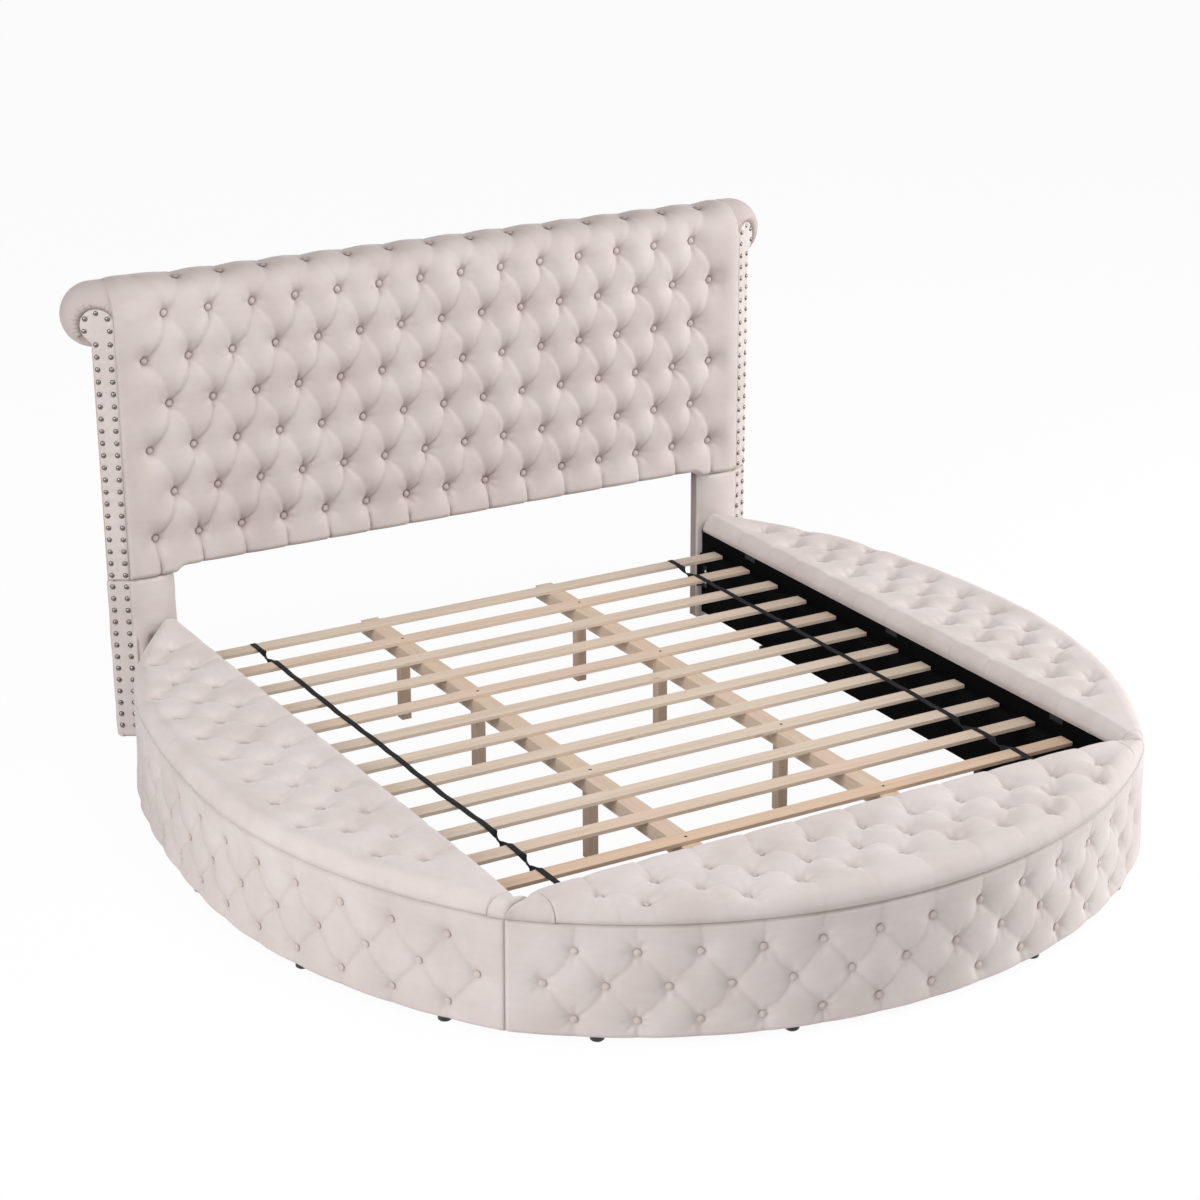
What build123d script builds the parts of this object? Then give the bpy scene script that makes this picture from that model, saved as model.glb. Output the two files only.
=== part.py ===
"""Round bed: a curved ring of three padded storage benches with lifting lids round a slatted base,
and a tall tufted headboard with a rolled top on two legs. Millimetres, +Z up, +Y to the headboard.

Everything is drawn with y = 0 on the front of the headboard's legs. The last step moves all pieces so
that the origin is under the middle of the bed's box, on the floor."""
from build123d import *
import math
import os

# Opening for the mattress
opening_width = 1950
opening_length = 2248
inner_edge = opening_width / 2

# Outline of the benches in plan, at the seam between wall and lid, measured from the headboard
half_width = 1403
widest_share = 0.548
shoulder_share = 0.2625
shoulder_reach_share = 0.8264
tip_width = 42
corner_width = 57
corner_length = 36
foot_bench_width = 442
widest_from_head = opening_length * widest_share
shoulder_from_head = opening_length * shoulder_share
tip_half_width = inner_edge + tip_width
shoulder_half_width = tip_half_width + (half_width - tip_half_width) * shoulder_reach_share
corner_half_width = inner_edge + corner_width
corner_from_head = opening_length + corner_length
foot_from_head = opening_length + foot_bench_width

# Heights of the benches
seam_height = 330
floor_gap = 22
wall_flare = 9
lid_overhang = 17

# Benches
panel_thickness = 15
wall_thickness = 12
base_thickness = 9
cover_depth = 24
foot_end_setback = 8
side_end_setback = 60
lid_gap = 2.5
lid_joint = 5
lid_head_gap = 5
corner_seat = 45
lid_board_thickness = 12
lid_board_inset = 22
lid_edge_height = 38
lid_shoulder_height = 20
lid_edge_round = 12
lid_button_height = 34
lid_crown = 26

# Tufting of the benches
side_pitch = 171
foot_pitch = 160
tuft_row_pitch = 94
first_lid_row = 112
lid_tuft_edge = 52
lid_tuft_end = 120
side_tuft_start = 75
lowest_wall_row = 62
wall_crown = 14
bench_button_radius = 10
bench_button_height = 6
bench_button_sides = 6

# Hinges of the lids
hinge_length = 60
hinge_leaf_width = 24
leaf_thickness = 1.5
knuckle_radius = 3.5
pin_radius = 1.5
pin_clearance = 0.05
hinge_gap = 0.3
hinge_count = 3
side_hinge_margin = 300
foot_hinge_margin = 280

# Slatted base
slat_end_gap = 9
slat_width = 54
slat_thickness = 12
slat_pitch = 172
slat_count = 12
slats_below_seam = 55
first_slat = 114
ledger_width = 40
ledger_height = 40
rail_offset = 326
rail_width = 60
rail_height = 45
rail_head_gap = 40
base_leg_size = 33
leg_slat_index = (2, 5, 9)
screw_slat_index = (2, 5, 9, 12)
screw_radius = 5
screw_height = 2
screw_sides = 8
right_strap_offset = 800
left_strap_offset = 762
strap_width = 19
strap_thickness = 1.2

# Glides
glide_radius = 23
glide_inset = 62
glide_sides = 16
side_glide_shares = (0.249, 0.498, 0.747, 0.945)
foot_glide_shares = (0.414, 0.902)
inner_glide_shares = (0.178, 0.712)

# Headboard
cushion_half_width = 1110
cushion_top_joint = 1300
gap_height = 556
leg_height = 528
joint_gap = 1
cushion_back = 33
board_thickness = 16
back_cover_thickness = 2
button_plane = 16
head_crown = 44
head_pitch = 145.5
head_row_pitch = 142.5
head_rows = 6
head_columns = 15
lowest_head_row = 650
roll_centre_y = 103
roll_centre_z = 1366
roll_radius = 84
roll_crown = 21
roll_end_angle = 218
roll_end_x = 1145
roll_end_radius = 102
roll_end_sides = 28
roll_end_rings = 6
top_rail_width = 56
top_rail_height = 70
head_button_radius = 11
head_button_height = 7
head_button_sides = 8

# Legs of the headboard and the nailed facings
leg_inner_x = 970
leg_front = 9
leg_back = 51
nose_start_x = 1068
nose_x = 1101
nose_reach = 20
strip_inner_x = 1122
strip_outer_x = 1180
strip_outer_y = 36
leg_cover_thickness = 6
facing_thickness = 6
facing_head_centre = 50
facing_head_height = 1345
facing_head_radius = 54
facing_neck_height = 1290
facing_neck_width = 70
nail_radius = 8
nail_height = 5
nail_pitch = 39
nail_edge = 9
nail_sides = 6
leg_floor_gap = 2

# Steel that joins the headboard to its legs and to the benches
plate_thickness = 3
plate_width = 60
plate_height = 100
plate_x = 1040
bracket_thickness = 4
bracket_height = 80
bracket_foot = 22
bracket_arm = 40
bracket_low = 120
bolt_radius = 6
bolt_head = 4
bolt_sides = 6

cut = 50

panel_face = inner_edge + lid_overhang
panel_outer = panel_face + panel_thickness
foot_edge = opening_length
foot_panel_face = foot_edge + lid_overhang
foot_panel_outer = foot_panel_face + panel_thickness
lid_height = seam_height + lid_gap
slat_top = seam_height - slats_below_seam
foot_lid_half_length = inner_edge - corner_seat
hinge_offset = knuckle_radius + hinge_gap
slat_length = 2 * (panel_face - slat_end_gap)


class Arc:
    """A round stretch of the outline: its centre, its radius and the angles where it starts and ends."""

    def __init__(self, centre, start, end):
        self.centre = Vector(*centre)
        first = Vector(*start) - self.centre
        last = Vector(*end) - self.centre
        self.radius = first.length
        self.start = math.atan2(first.Y, first.X)
        self.end = math.atan2(last.Y, last.X)

    def at(self, angle, out=0):
        """The point at an angle, moved out square to the arc."""
        reach = self.radius + out
        return Vector(self.centre.X + reach * math.cos(angle), self.centre.Y + reach * math.sin(angle))

    def edge(self, start, end, out=0):
        return ThreePointArc(self.at(start, out), self.at((start + end) / 2, out), self.at(end, out))


def radius_for(rise, run):
    """Radius of an arc that leaves its tangent by rise over the distance run."""
    return (rise**2 + run**2) / (2 * rise)


def bench_arcs():
    """The four arcs of the right half, from the tip at the head round to the middle of the foot."""
    wide = half_width - radius_for(half_width - shoulder_half_width, widest_from_head - shoulder_from_head)
    shoulder_centre = (wide, -widest_from_head)
    shoulder = Vector(shoulder_half_width, -shoulder_from_head)
    inward = (Vector(*shoulder_centre) - shoulder).normalized()
    tip = Vector(tip_half_width, 0)
    chord = tip - shoulder
    head_radius = chord.length**2 / (2 * chord.dot(inward))
    head_centre = shoulder + inward * head_radius
    turn = half_width - radius_for(half_width - corner_half_width, corner_from_head - widest_from_head)
    corner = (corner_half_width, -corner_from_head)
    foot_radius = radius_for(foot_from_head - corner_from_head, corner_half_width)
    widest = (half_width, -widest_from_head)
    return (
        Arc((head_centre.X, head_centre.Y), (tip.X, tip.Y), (shoulder.X, shoulder.Y)),
        Arc(shoulder_centre, (shoulder.X, shoulder.Y), widest),
        Arc((turn, -widest_from_head), widest, corner),
        Arc((0, foot_radius - foot_from_head), corner, (0, -foot_from_head)),
    )


ARCS = bench_arcs()
CORNER = Vector(corner_half_width, -corner_from_head)
CORNER_ANGLE = (ARCS[2].end + ARCS[3].start) / 2
CORNER_NORMAL = Vector(-math.sin(CORNER_ANGLE), math.cos(CORNER_ANGLE), 0)


def side_point(length, out=0):
    """A point of the right side, at a length along the wall from the tip at the head."""
    for arc in ARCS[:3]:
        span = (arc.start - arc.end) * arc.radius
        if length <= span or arc is ARCS[2]:
            return arc.at(arc.start - length / arc.radius, out)
        length -= span


def side_length():
    return sum((arc.start - arc.end) * arc.radius for arc in ARCS[:3])


def foot_point(length, out=0):
    """A point of the foot wall, at a length along it from the middle, to the right."""
    arc = ARCS[3]
    return arc.at(length / arc.radius - math.pi / 2, out)


def outline_x(down):
    """Half width of the outline at a distance from the headboard."""
    for arc in ARCS[:3]:
        low = arc.at(arc.end).Y
        if -down >= low or arc is ARCS[2]:
            return arc.centre.X + math.sqrt(arc.radius**2 - (-down - arc.centre.Y) ** 2)


def outline_foot(x):
    """Distance of the foot outline from the headboard, at a place across the bed."""
    arc = ARCS[3]
    return math.sqrt(arc.radius**2 - x**2) - arc.centre.Y


def meeting(one, other, out):
    """Where two arcs meet near the corner once both are moved out."""
    gap = other.centre - one.centre
    far, near = other.radius + out, one.radius + out
    along = (near**2 - far**2 + gap.length**2) / (2 * gap.length)
    across = math.sqrt(near**2 - along**2)
    unit = gap.normalized()
    middle = one.centre + unit * along
    sides = [middle + Vector(-unit.Y, unit.X) * across * side for side in (1, -1)]
    return min(sides, key=lambda point: (point - CORNER).length)


def outline_face(out):
    """The whole plan as a face, moved out by a distance, with its straight edge at the headboard."""
    head, shoulder, turn, foot = ARCS
    corner = meeting(turn, foot, out)
    tip = math.asin(-head.centre.Y / (head.radius + out))
    turn_end = math.atan2(corner.Y - turn.centre.Y, corner.X - turn.centre.X)
    foot_start = math.atan2(corner.Y - foot.centre.Y, corner.X - foot.centre.X)
    right = [head.edge(tip, head.end, out), shoulder.edge(shoulder.start, 0, out)]
    right += [turn.edge(0, turn_end, out)]
    left = [mirror(edge, about=Plane.YZ) for edge in right]
    bottom = foot.edge(foot_start, -math.pi - foot_start, out)
    top = Line(head.at(tip, out), mirror(head.edge(tip, head.end, out), about=Plane.YZ) @ 0)
    return make_face([*right, *left, bottom, top])


def slab(out, low, high):
    """The plan between two heights."""
    return Pos(0, 0, low) * extrude(outline_face(out), amount=high - low)


def block(low, high):
    """A box between two opposite corners."""
    size = [b - a for a, b in zip(low, high)]
    return Pos(*low) * Box(*size, align=(Align.MIN, Align.MIN, Align.MIN))


def front_of(shape, plane):
    """The part of a shape that lies on the side a plane's normal points to."""
    size = half_width * 3
    return shape & (plane.location * Box(size, size, size, align=(Align.CENTER, Align.CENTER, Align.MIN)))


def mirrored(shape):
    return mirror(shape, about=Plane.YZ)


def polygon(points):
    return Face(Wire.make_polygon(points, close=True))


def closed_solid(faces):
    solid = Solid(Shell(faces))
    return solid if solid.volume > 0 else Solid(Shell([-face for face in faces]))


def facet_dome(place, out, radius, height, sides):
    """A small dome with flat facets, standing on a point and pointing out."""
    plane = Plane(origin=place, z_dir=out)
    turns = [2 * math.pi * k / sides for k in range(sides)]
    ring = [plane.from_local_coords(Vector(radius * math.cos(a), radius * math.sin(a))) for a in turns]
    top = plane.from_local_coords(Vector(0, 0, height))
    slopes = [polygon([ring[k - 1], ring[k], top]) for k in range(sides)]
    return closed_solid([*slopes, polygon(ring)])


class Net:
    """Tufting drawn flat: buttons, the folds between them and the pleats that run to the border.

    Points are (u, v). The net finds its own cells, and each cell is one puff."""

    def __init__(self, border):
        self.border = border
        self.buttons = set()
        self.links = {tuple(sorted(pair)) for pair in zip(border, border[1:] + border[:1])}

    def fold(self, one, other):
        self.links.add(tuple(sorted((one, other))))

    def cells(self):
        """Each closed cell as its points in turn, found by always turning the same way."""
        around = {}
        for one, other in self.links:
            around.setdefault(one, []).append(other)
            around.setdefault(other, []).append(one)
        for point, others in around.items():
            others.sort(key=lambda o: math.atan2(o[1] - point[1], o[0] - point[0]))
        seen = set()
        cells = []
        for start in [pair for link in self.links for pair in (link, link[::-1])]:
            if start in seen:
                continue
            ring, step = [], start
            while step not in seen:
                seen.add(step)
                ring.append(step[0])
                others = around[step[1]]
                step = (step[1], others[others.index(step[0]) - 1])
            if area_of(ring) > 0:
                cells.append(ring)
        return cells


def area_of(ring):
    return sum(a[0] * b[1] - a[1] * b[0] for a, b in zip(ring, ring[1:] + ring[:1])) / 2


def tufted_faces(net, place, crown, edge_share, fold_share, rounded):
    """Faces of the puffs: each cell rises from its buttons and folds to a crown.

    place(u, v, height) gives the point in space. A rounded puff has a second ring of facets."""
    border = set(net.border)
    border_links = {tuple(sorted(p)) for p in zip(net.border, net.border[1:] + net.border[:1])}
    ring_reach_share, ring_height_share = 0.55, 0.82

    def height(point):
        return 0 if point in net.buttons else edge_share * crown

    def middle(one, other):
        u, v = (one[0] + other[0]) / 2, (one[1] + other[1]) / 2
        if tuple(sorted((one, other))) in border_links:
            return u, v, edge_share * crown
        return u, v, max(fold_share * crown, (height(one) + height(other)) / 2)

    faces = []
    for cell in net.cells():
        ring = []
        for one, other in zip(cell, cell[1:] + cell[:1]):
            ring += [(*one, height(one)), middle(one, other)]
        u = sum(p[0] for p in cell) / len(cell)
        v = sum(p[1] for p in cell) / len(cell)
        top = place(u, v, crown)
        inner = ring
        if rounded:
            inner = [(u + (p[0] - u) * ring_reach_share, v + (p[1] - v) * ring_reach_share,
                      p[2] + (crown - p[2]) * ring_height_share) for p in ring]
            for k in range(len(ring)):
                a, b, c, d = ring[k - 1], ring[k], inner[k], inner[k - 1]
                faces += [polygon([place(*a), place(*b), place(*c)])]
                faces += [polygon([place(*a), place(*c), place(*d)])]
        for k in range(len(inner)):
            faces += [polygon([place(*inner[k - 1]), place(*inner[k]), top])]
    return faces


def with_middles(points):
    """A run of points with the middle of each step between them."""
    run = []
    for one, other in zip(points, points[1:]):
        run += [one, ((one[0] + other[0]) / 2, (one[1] + other[1]) / 2)]
    return run + [points[-1]]


def staggered(low, high, pitch, phase):
    """Places from low to high at a pitch, one of them at the phase."""
    first = math.ceil((low - phase) / pitch)
    last = math.floor((high - phase) / pitch)
    return [phase + k * pitch for k in range(first, last + 1)]


def wall_cover(point_at, start, end, pitch, phase):
    """The padded, tufted face of a curved wall, as a band from start to end along the outline."""
    rows = [lowest_wall_row + k * tuft_row_pitch for k in range(3)]
    even = staggered(start + pitch / 4, end - pitch / 4, pitch, phase)
    odd = staggered(start + pitch / 4, end - pitch / 4, pitch, phase + pitch / 2)
    stations = [start, *even, end]
    border = [(s, floor_gap) for s in stations] + [(s, seam_height) for s in reversed(stations)]
    net = Net(border)
    for s in even:
        net.buttons |= {(s, rows[0]), (s, rows[2])}
        net.fold((s, rows[0]), (s, floor_gap))
        net.fold((s, rows[2]), (s, seam_height))
    for s in odd:
        net.buttons.add((s, rows[1]))
        for near in even:
            if abs(near - s) < pitch * 3 / 4:
                net.fold((s, rows[1]), (near, rows[0]))
                net.fold((s, rows[1]), (near, rows[2]))
    for s in (min(odd, default=start), max(odd, default=end)):
        if s < min(even):
            net.fold((s, rows[1]), (start, rows[1]))
            net.border.append((start, rows[1]))
        if s > max(even):
            net.fold((s, rows[1]), (end, rows[1]))
            net.border.insert(len(stations), (end, rows[1]))
    net.links = {l for l in net.links if not (l[0][0] == l[1][0] and l[0][0] in (start, end))}
    ring = net.border
    net.links |= {tuple(sorted(pair)) for pair in zip(ring, ring[1:] + ring[:1])}

    def place(s, z, height):
        flare = wall_flare * (seam_height - z) / (seam_height - floor_gap)
        point = point_at(s, height - wall_crown + flare)
        return Vector(point.X, point.Y, z)

    def back(s, z):
        point = point_at(s, -cover_depth - cut)
        return Vector(point.X, point.Y, z)

    faces = tufted_faces(net, place, wall_crown, 1, 0.45, False)
    run = with_middles([(s, 0) for s in stations])
    along = [s for s, _ in run]
    for z in (floor_gap, seam_height):
        front = [place(s, z, wall_crown) for s in along]
        behind = [back(s, z) for s in reversed(along)]
        faces.append(polygon(front + behind))
    for s in (start, end):
        ends = sorted({p[1] for p in net.border if p[0] == s})
        run = [z for _, z in with_middles([(0, z) for z in ends])]
        front = [place(s, z, wall_crown) for z in run]
        faces.append(polygon(front + [back(s, seam_height), back(s, floor_gap)]))
    for one, other in zip(along, along[1:]):
        corners = [(one, floor_gap), (other, floor_gap), (other, seam_height), (one, seam_height)]
        faces.append(polygon([back(*corner) for corner in corners]))
    buttons = []
    for s, z in sorted(net.buttons):
        seat = place(s, z, 0)
        out = place(s, z, 1) - seat
        buttons.append(facet_dome(seat, out, bench_button_radius, bench_button_height, bench_button_sides))
    return closed_solid(faces), buttons


def lid_parts(place, start, end, reach, pitch, phase):
    """A lid's tufted cushion and its buttons. u runs along the hinge, v out from the inner edge."""
    rows = [first_lid_row + k * tuft_row_pitch for k in range(3)]

    def fits(u, v):
        return start + lid_tuft_end <= u <= end - lid_tuft_end and reach(u) - v >= lid_tuft_edge

    buttons = []
    for k, row in enumerate(rows):
        places = staggered(start, end, pitch, phase + (k % 2) * pitch / 2)
        buttons.append([u for u in places if fits(u, row)])
    outer = set()
    for k, row in enumerate(buttons):
        beyond = buttons[k + 1] if k < 2 else []
        outer |= {(u, rows[k]) for u in row if sum(abs(u - far) < pitch for far in beyond) < 2}
    extra = staggered(start + pitch / 4, end - pitch / 4, pitch / 2, phase)
    taken = [u for u, _ in outer]
    extra = [u for u in extra if all(abs(u - other) > pitch / 4 for other in taken)]
    inner_places = [start, *buttons[0], end]
    outer_places = [start, *sorted(taken + extra), end]

    def edge_point(u, side, inset):
        at = min(max(u, start + inset), end - inset)
        return at, (inset if side == 0 else reach(at) - inset)

    def ring(inset):
        near = [edge_point(u, 0, inset) for u in inner_places]
        far = [edge_point(u, 1, inset) for u in reversed(outer_places)]
        return near + far

    net = Net(ring(lid_edge_round))
    for k, row in enumerate(buttons):
        net.buttons |= {(u, rows[k]) for u in row}
        for u in row:
            if k < 2:
                for far in buttons[k + 1]:
                    if abs(far - u) < pitch * 3 / 4:
                        net.fold((u, rows[k]), (far, rows[k + 1]))
    for u in buttons[0]:
        net.fold((u, rows[0]), edge_point(u, 0, lid_edge_round))
    for u, row in outer:
        net.fold((u, row), edge_point(u, 1, lid_edge_round))
    edge_share = (lid_edge_height - lid_button_height) / lid_crown

    def at(u, v, height):
        return place(u, v, lid_height + lid_button_height + height)

    faces = tufted_faces(net, at, lid_crown, edge_share, 0.5, False)
    top = doubled(ring(lid_edge_round))
    side = doubled(ring(0))
    heights = (lid_edge_height, lid_shoulder_height, 0)
    loops = [[place(*p, lid_height + heights[0]) for p in top]]
    loops += [[place(*p, lid_height + h) for p in side] for h in heights[1:]]
    for upper, lower in zip(loops, loops[1:]):
        for k in range(len(upper)):
            faces.append(polygon([upper[k - 1], upper[k], lower[k]]))
            faces.append(polygon([upper[k - 1], lower[k], lower[k - 1]]))
    faces.append(polygon(loops[-1]))
    domes = []
    for u, v in sorted(net.buttons):
        seat = place(u, v, lid_height + lid_button_height)
        domes.append(facet_dome(seat, Vector(0, 0, 1), bench_button_radius, bench_button_height,
                                bench_button_sides))
    return closed_solid(faces), domes


def doubled(ring):
    """A closed ring of points with the middle of each step added."""
    run = []
    for one, other in zip(ring, ring[1:] + ring[:1]):
        run += [one, ((one[0] + other[0]) / 2, (one[1] + other[1]) / 2)]
    return run


def side_region(shape):
    """The part of a ring that belongs to the right bench."""
    part = front_of(shape, Plane(origin=CORNER, z_dir=CORNER_NORMAL))
    return part & block((panel_outer, -foot_from_head - cut, 0), (half_width + cut, 0, seam_height + cut))


def foot_region(shape):
    """The part of a ring that belongs to the foot bench."""
    part = front_of(shape, Plane(origin=CORNER, z_dir=-CORNER_NORMAL))
    other = Vector(CORNER_NORMAL.X, -CORNER_NORMAL.Y)
    return front_of(part, Plane(origin=(-CORNER.X, CORNER.Y), z_dir=other))


def make_benches():
    """Walls, covers, inner panels and bases of the three benches."""
    nodes = {}
    inner_wall = -cover_depth - wall_thickness
    ring = slab(-cover_depth, floor_gap, seam_height) - slab(inner_wall, floor_gap - cut, seam_height + cut)
    hole = slab(-cover_depth, floor_gap - cut, seam_height + cut)
    side_cover, side_buttons = wall_cover(side_point, 0, side_length() + cut, side_pitch, side_tuft_start)
    reach = side_length_of_foot()
    foot_cover, foot_buttons = wall_cover(foot_point, -reach - cut, reach + cut, foot_pitch, 0)
    side_cover = side_region(side_cover - hole)
    buttons = [b for b in side_buttons if inside_side(b)]
    nodes["rail_cover_right"] = side_cover
    nodes["rail_cover_left"] = mirrored(side_cover)
    nodes["rail_cover_foot"] = foot_region(foot_cover - hole)
    foot_kept = [b for b in foot_buttons if inside_foot(b)]
    nodes["rail_buttons"] = Compound([*buttons, *[mirrored(b) for b in buttons], *foot_kept])
    wall = side_region(ring)
    nodes["wall_right"] = wall
    nodes["wall_left"] = mirrored(wall)
    nodes["wall_foot"] = foot_region(ring)
    within = slab(inner_wall, 0, seam_height)
    within += block((-half_width, -widest_from_head, 0), (half_width, cut, seam_height))
    panel = within & block((panel_face, -foot_panel_face, floor_gap), (panel_outer, leg_front, seam_height))
    nodes["inner_panel_right"] = panel
    nodes["inner_panel_left"] = mirrored(panel)
    nodes["inner_panel_foot"] = within & block((-panel_outer, -foot_panel_outer, floor_gap),
                                               (panel_outer, -foot_panel_face, seam_height))
    floor = slab(inner_wall, floor_gap, floor_gap + base_thickness)
    side_floor = side_region(floor) - block((0, -foot_from_head - cut, 0),
                                               (half_width, -opening_length - lid_joint, seam_height))
    nodes["base_board_right"] = side_floor
    nodes["base_board_left"] = mirrored(side_floor)
    foot_floor = floor & block((-half_width, -foot_from_head, 0),
                               (half_width, -foot_panel_outer, seam_height))
    nodes["base_board_foot"] = foot_floor
    low = floor_gap + base_thickness
    inside = slab(inner_wall, low, seam_height)
    side_end = -opening_length + side_end_setback
    side_panel = inside & block((panel_outer, side_end - panel_thickness, low),
                                (half_width, side_end, seam_height))
    foot_end = foot_lid_half_length - foot_end_setback
    foot_panel = inside & block((foot_end - panel_thickness, -foot_from_head, low),
                                (foot_end, -foot_panel_outer, seam_height))
    ends = [side_panel, mirrored(side_panel), foot_panel, mirrored(foot_panel)]
    nodes["end_panels"] = Compound([solid for end in ends for solid in end.solids()])
    return nodes


def side_length_of_foot():
    """Length of the foot wall from its middle to the corner."""
    arc = ARCS[3]
    return arc.radius * (arc.start + math.pi / 2)


def inside_side(button):
    centre = button.center()
    return centre.X > panel_outer and (centre - CORNER).dot(CORNER_NORMAL) > bench_button_radius


def inside_foot(button):
    centre = button.center()
    flat = Vector(abs(centre.X), centre.Y, 0)
    return (flat - CORNER).dot(CORNER_NORMAL) < -bench_button_radius


def side_place(u, v, z):
    return Vector(inner_edge + v, -u, z)


def foot_place(u, v, z):
    return Vector(u, -foot_edge - v, z)


def corner_pad():
    """The fixed padded piece that fills the corner between a side lid and the foot lid."""
    start = foot_lid_half_length + lid_joint

    def ring(inset, height):
        low, high = start + inset, outline_x(foot_edge + inset) - inset
        corner = CORNER + Vector(-inset, inset)
        points = [(low, -foot_edge - inset), (high, -foot_edge - inset), (corner.X, corner.Y),
                  (start + inset, inset - outline_foot(start + inset))]
        return [Vector(x, y, height) for x, y in points]

    loops = [ring(0, seam_height), ring(0, lid_height + lid_shoulder_height),
             ring(lid_edge_round, lid_height + lid_edge_height)]
    faces = [polygon(loops[0])]
    for lower, upper in zip(loops, loops[1:]):
        for k in range(len(lower)):
            faces.append(polygon([lower[k - 1], lower[k], upper[k]]))
            faces.append(polygon([lower[k - 1], upper[k], upper[k - 1]]))
    crown = sum(loops[-1], Vector()) / len(loops[-1]) + Vector(0, 0, lid_crown / 2)
    for k in range(len(loops[-1])):
        faces.append(polygon([loops[-1][k - 1], loops[-1][k], crown]))
    return closed_solid(faces)


def make_lids():
    """Board, cushion and buttons of each lid, and the two fixed corner pads."""
    nodes = {}
    start, end = lid_head_gap, opening_length - lid_joint
    side, domes = lid_parts(side_place, start, end, lambda u: outline_x(u) - inner_edge,
                            side_pitch, side_tuft_start)
    half = foot_lid_half_length
    foot, foot_domes = lid_parts(foot_place, -half, half, lambda u: outline_foot(u) - foot_edge,
                                 foot_pitch, 0)
    board = slab(-lid_board_inset, lid_height, lid_height + lid_board_thickness)
    low_x = panel_face
    side_board = board & block((low_x, -end + lid_board_inset, 0), (half_width, -start, seam_height * 2))
    foot_board = board & block((-half + lid_board_inset, -foot_from_head, 0),
                               (half - lid_board_inset, -foot_panel_face, seam_height * 2))
    nodes["lid_board_right"] = side_board
    nodes["lid_board_left"] = mirrored(side_board)
    nodes["lid_board_foot"] = foot_board
    nodes["lid_cushion_right"] = side - side_board
    nodes["lid_cushion_left"] = mirrored(side - side_board)
    nodes["lid_cushion_foot"] = foot - foot_board
    nodes["lid_buttons_right"] = Compound(domes)
    nodes["lid_buttons_left"] = Compound([mirrored(dome) for dome in domes])
    nodes["lid_buttons_foot"] = Compound(foot_domes)
    pad = corner_pad()
    nodes["corner_pad_right"] = pad
    nodes["corner_pad_left"] = mirrored(pad)
    return nodes


def hinge():
    """One butt hinge, drawn at the origin with its pin along X and its panel on the +Y side.

    Gives the fixed leaf with its two outer knuckles and the pin, and the moving leaf."""
    third = hinge_length / 3
    bore = pin_radius + pin_clearance

    def knuckle(low, high):
        barrel = Cylinder(knuckle_radius, high - low, align=(Align.CENTER, Align.CENTER, Align.MIN))
        return Pos(low, 0, 0) * Rot(0, 90, 0) * barrel

    hole = Pos(-hinge_length, 0, 0) * Rot(0, 90, 0) * Cylinder(
        bore, hinge_length * 3, align=(Align.CENTER, Align.CENTER, Align.MIN))
    half = hinge_length / 2
    face = knuckle_radius + hinge_gap
    fixed = block((-half, face - leaf_thickness, -hinge_leaf_width), (half, face, 0))
    moving = block((-half, 0, face - leaf_thickness), (half, hinge_leaf_width, face))
    room = knuckle_radius + hinge_gap
    gap = third / 2 + hinge_gap
    middle_room = block((-gap, -room, -room), (gap, room, room))
    fixed = fixed - middle_room
    for side in (1, -1):
        low, high = sorted((side * gap, side * half))
        fixed += knuckle(low, high)
        low, high = sorted((side * (third / 2), side * (half + cut)))
        moving -= block((low, -room, -room), (high, room, face))
    moving += knuckle(-third / 2, third / 2)
    pin = Pos(-half, 0, 0) * Rot(0, 90, 0) * Cylinder(
        pin_radius, hinge_length, align=(Align.CENTER, Align.CENTER, Align.MIN))
    return fixed - hole, moving - hole, pin


def make_hinges():
    """The hinges of the three lids, as groups of fixed leaves, moving leaves and pins."""
    nodes = {}
    height = lid_height - hinge_offset
    fixed, moving, pin = hinge()
    side_end = opening_length - lid_joint
    places = {
        "right": [Pos(panel_face - hinge_offset, -u, height) * Rot(0, 0, -90)
                  for u in spread(side_hinge_margin, side_end - side_hinge_margin)],
        "left": [Pos(-panel_face + hinge_offset, -u, height) * Rot(0, 0, 90)
                 for u in spread(side_hinge_margin, side_end - side_hinge_margin)],
        "foot": [Pos(x, -foot_panel_face + hinge_offset, height) * Rot(0, 0, 180)
                 for x in spread(foot_hinge_margin - foot_lid_half_length,
                                 foot_lid_half_length - foot_hinge_margin)],
    }
    pins = []
    for name, spots in places.items():
        nodes[f"hinge_leaf_fixed_{name}"] = Compound([spot * fixed for spot in spots])
        nodes[f"hinge_leaf_moving_{name}"] = Compound([spot * moving for spot in spots])
        pins += [spot * pin for spot in spots]
    nodes["hinge_pins"] = Compound(pins)
    return nodes


def spread(low, high):
    return [low + (high - low) * k / (hinge_count - 1) for k in range(hinge_count)]


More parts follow.
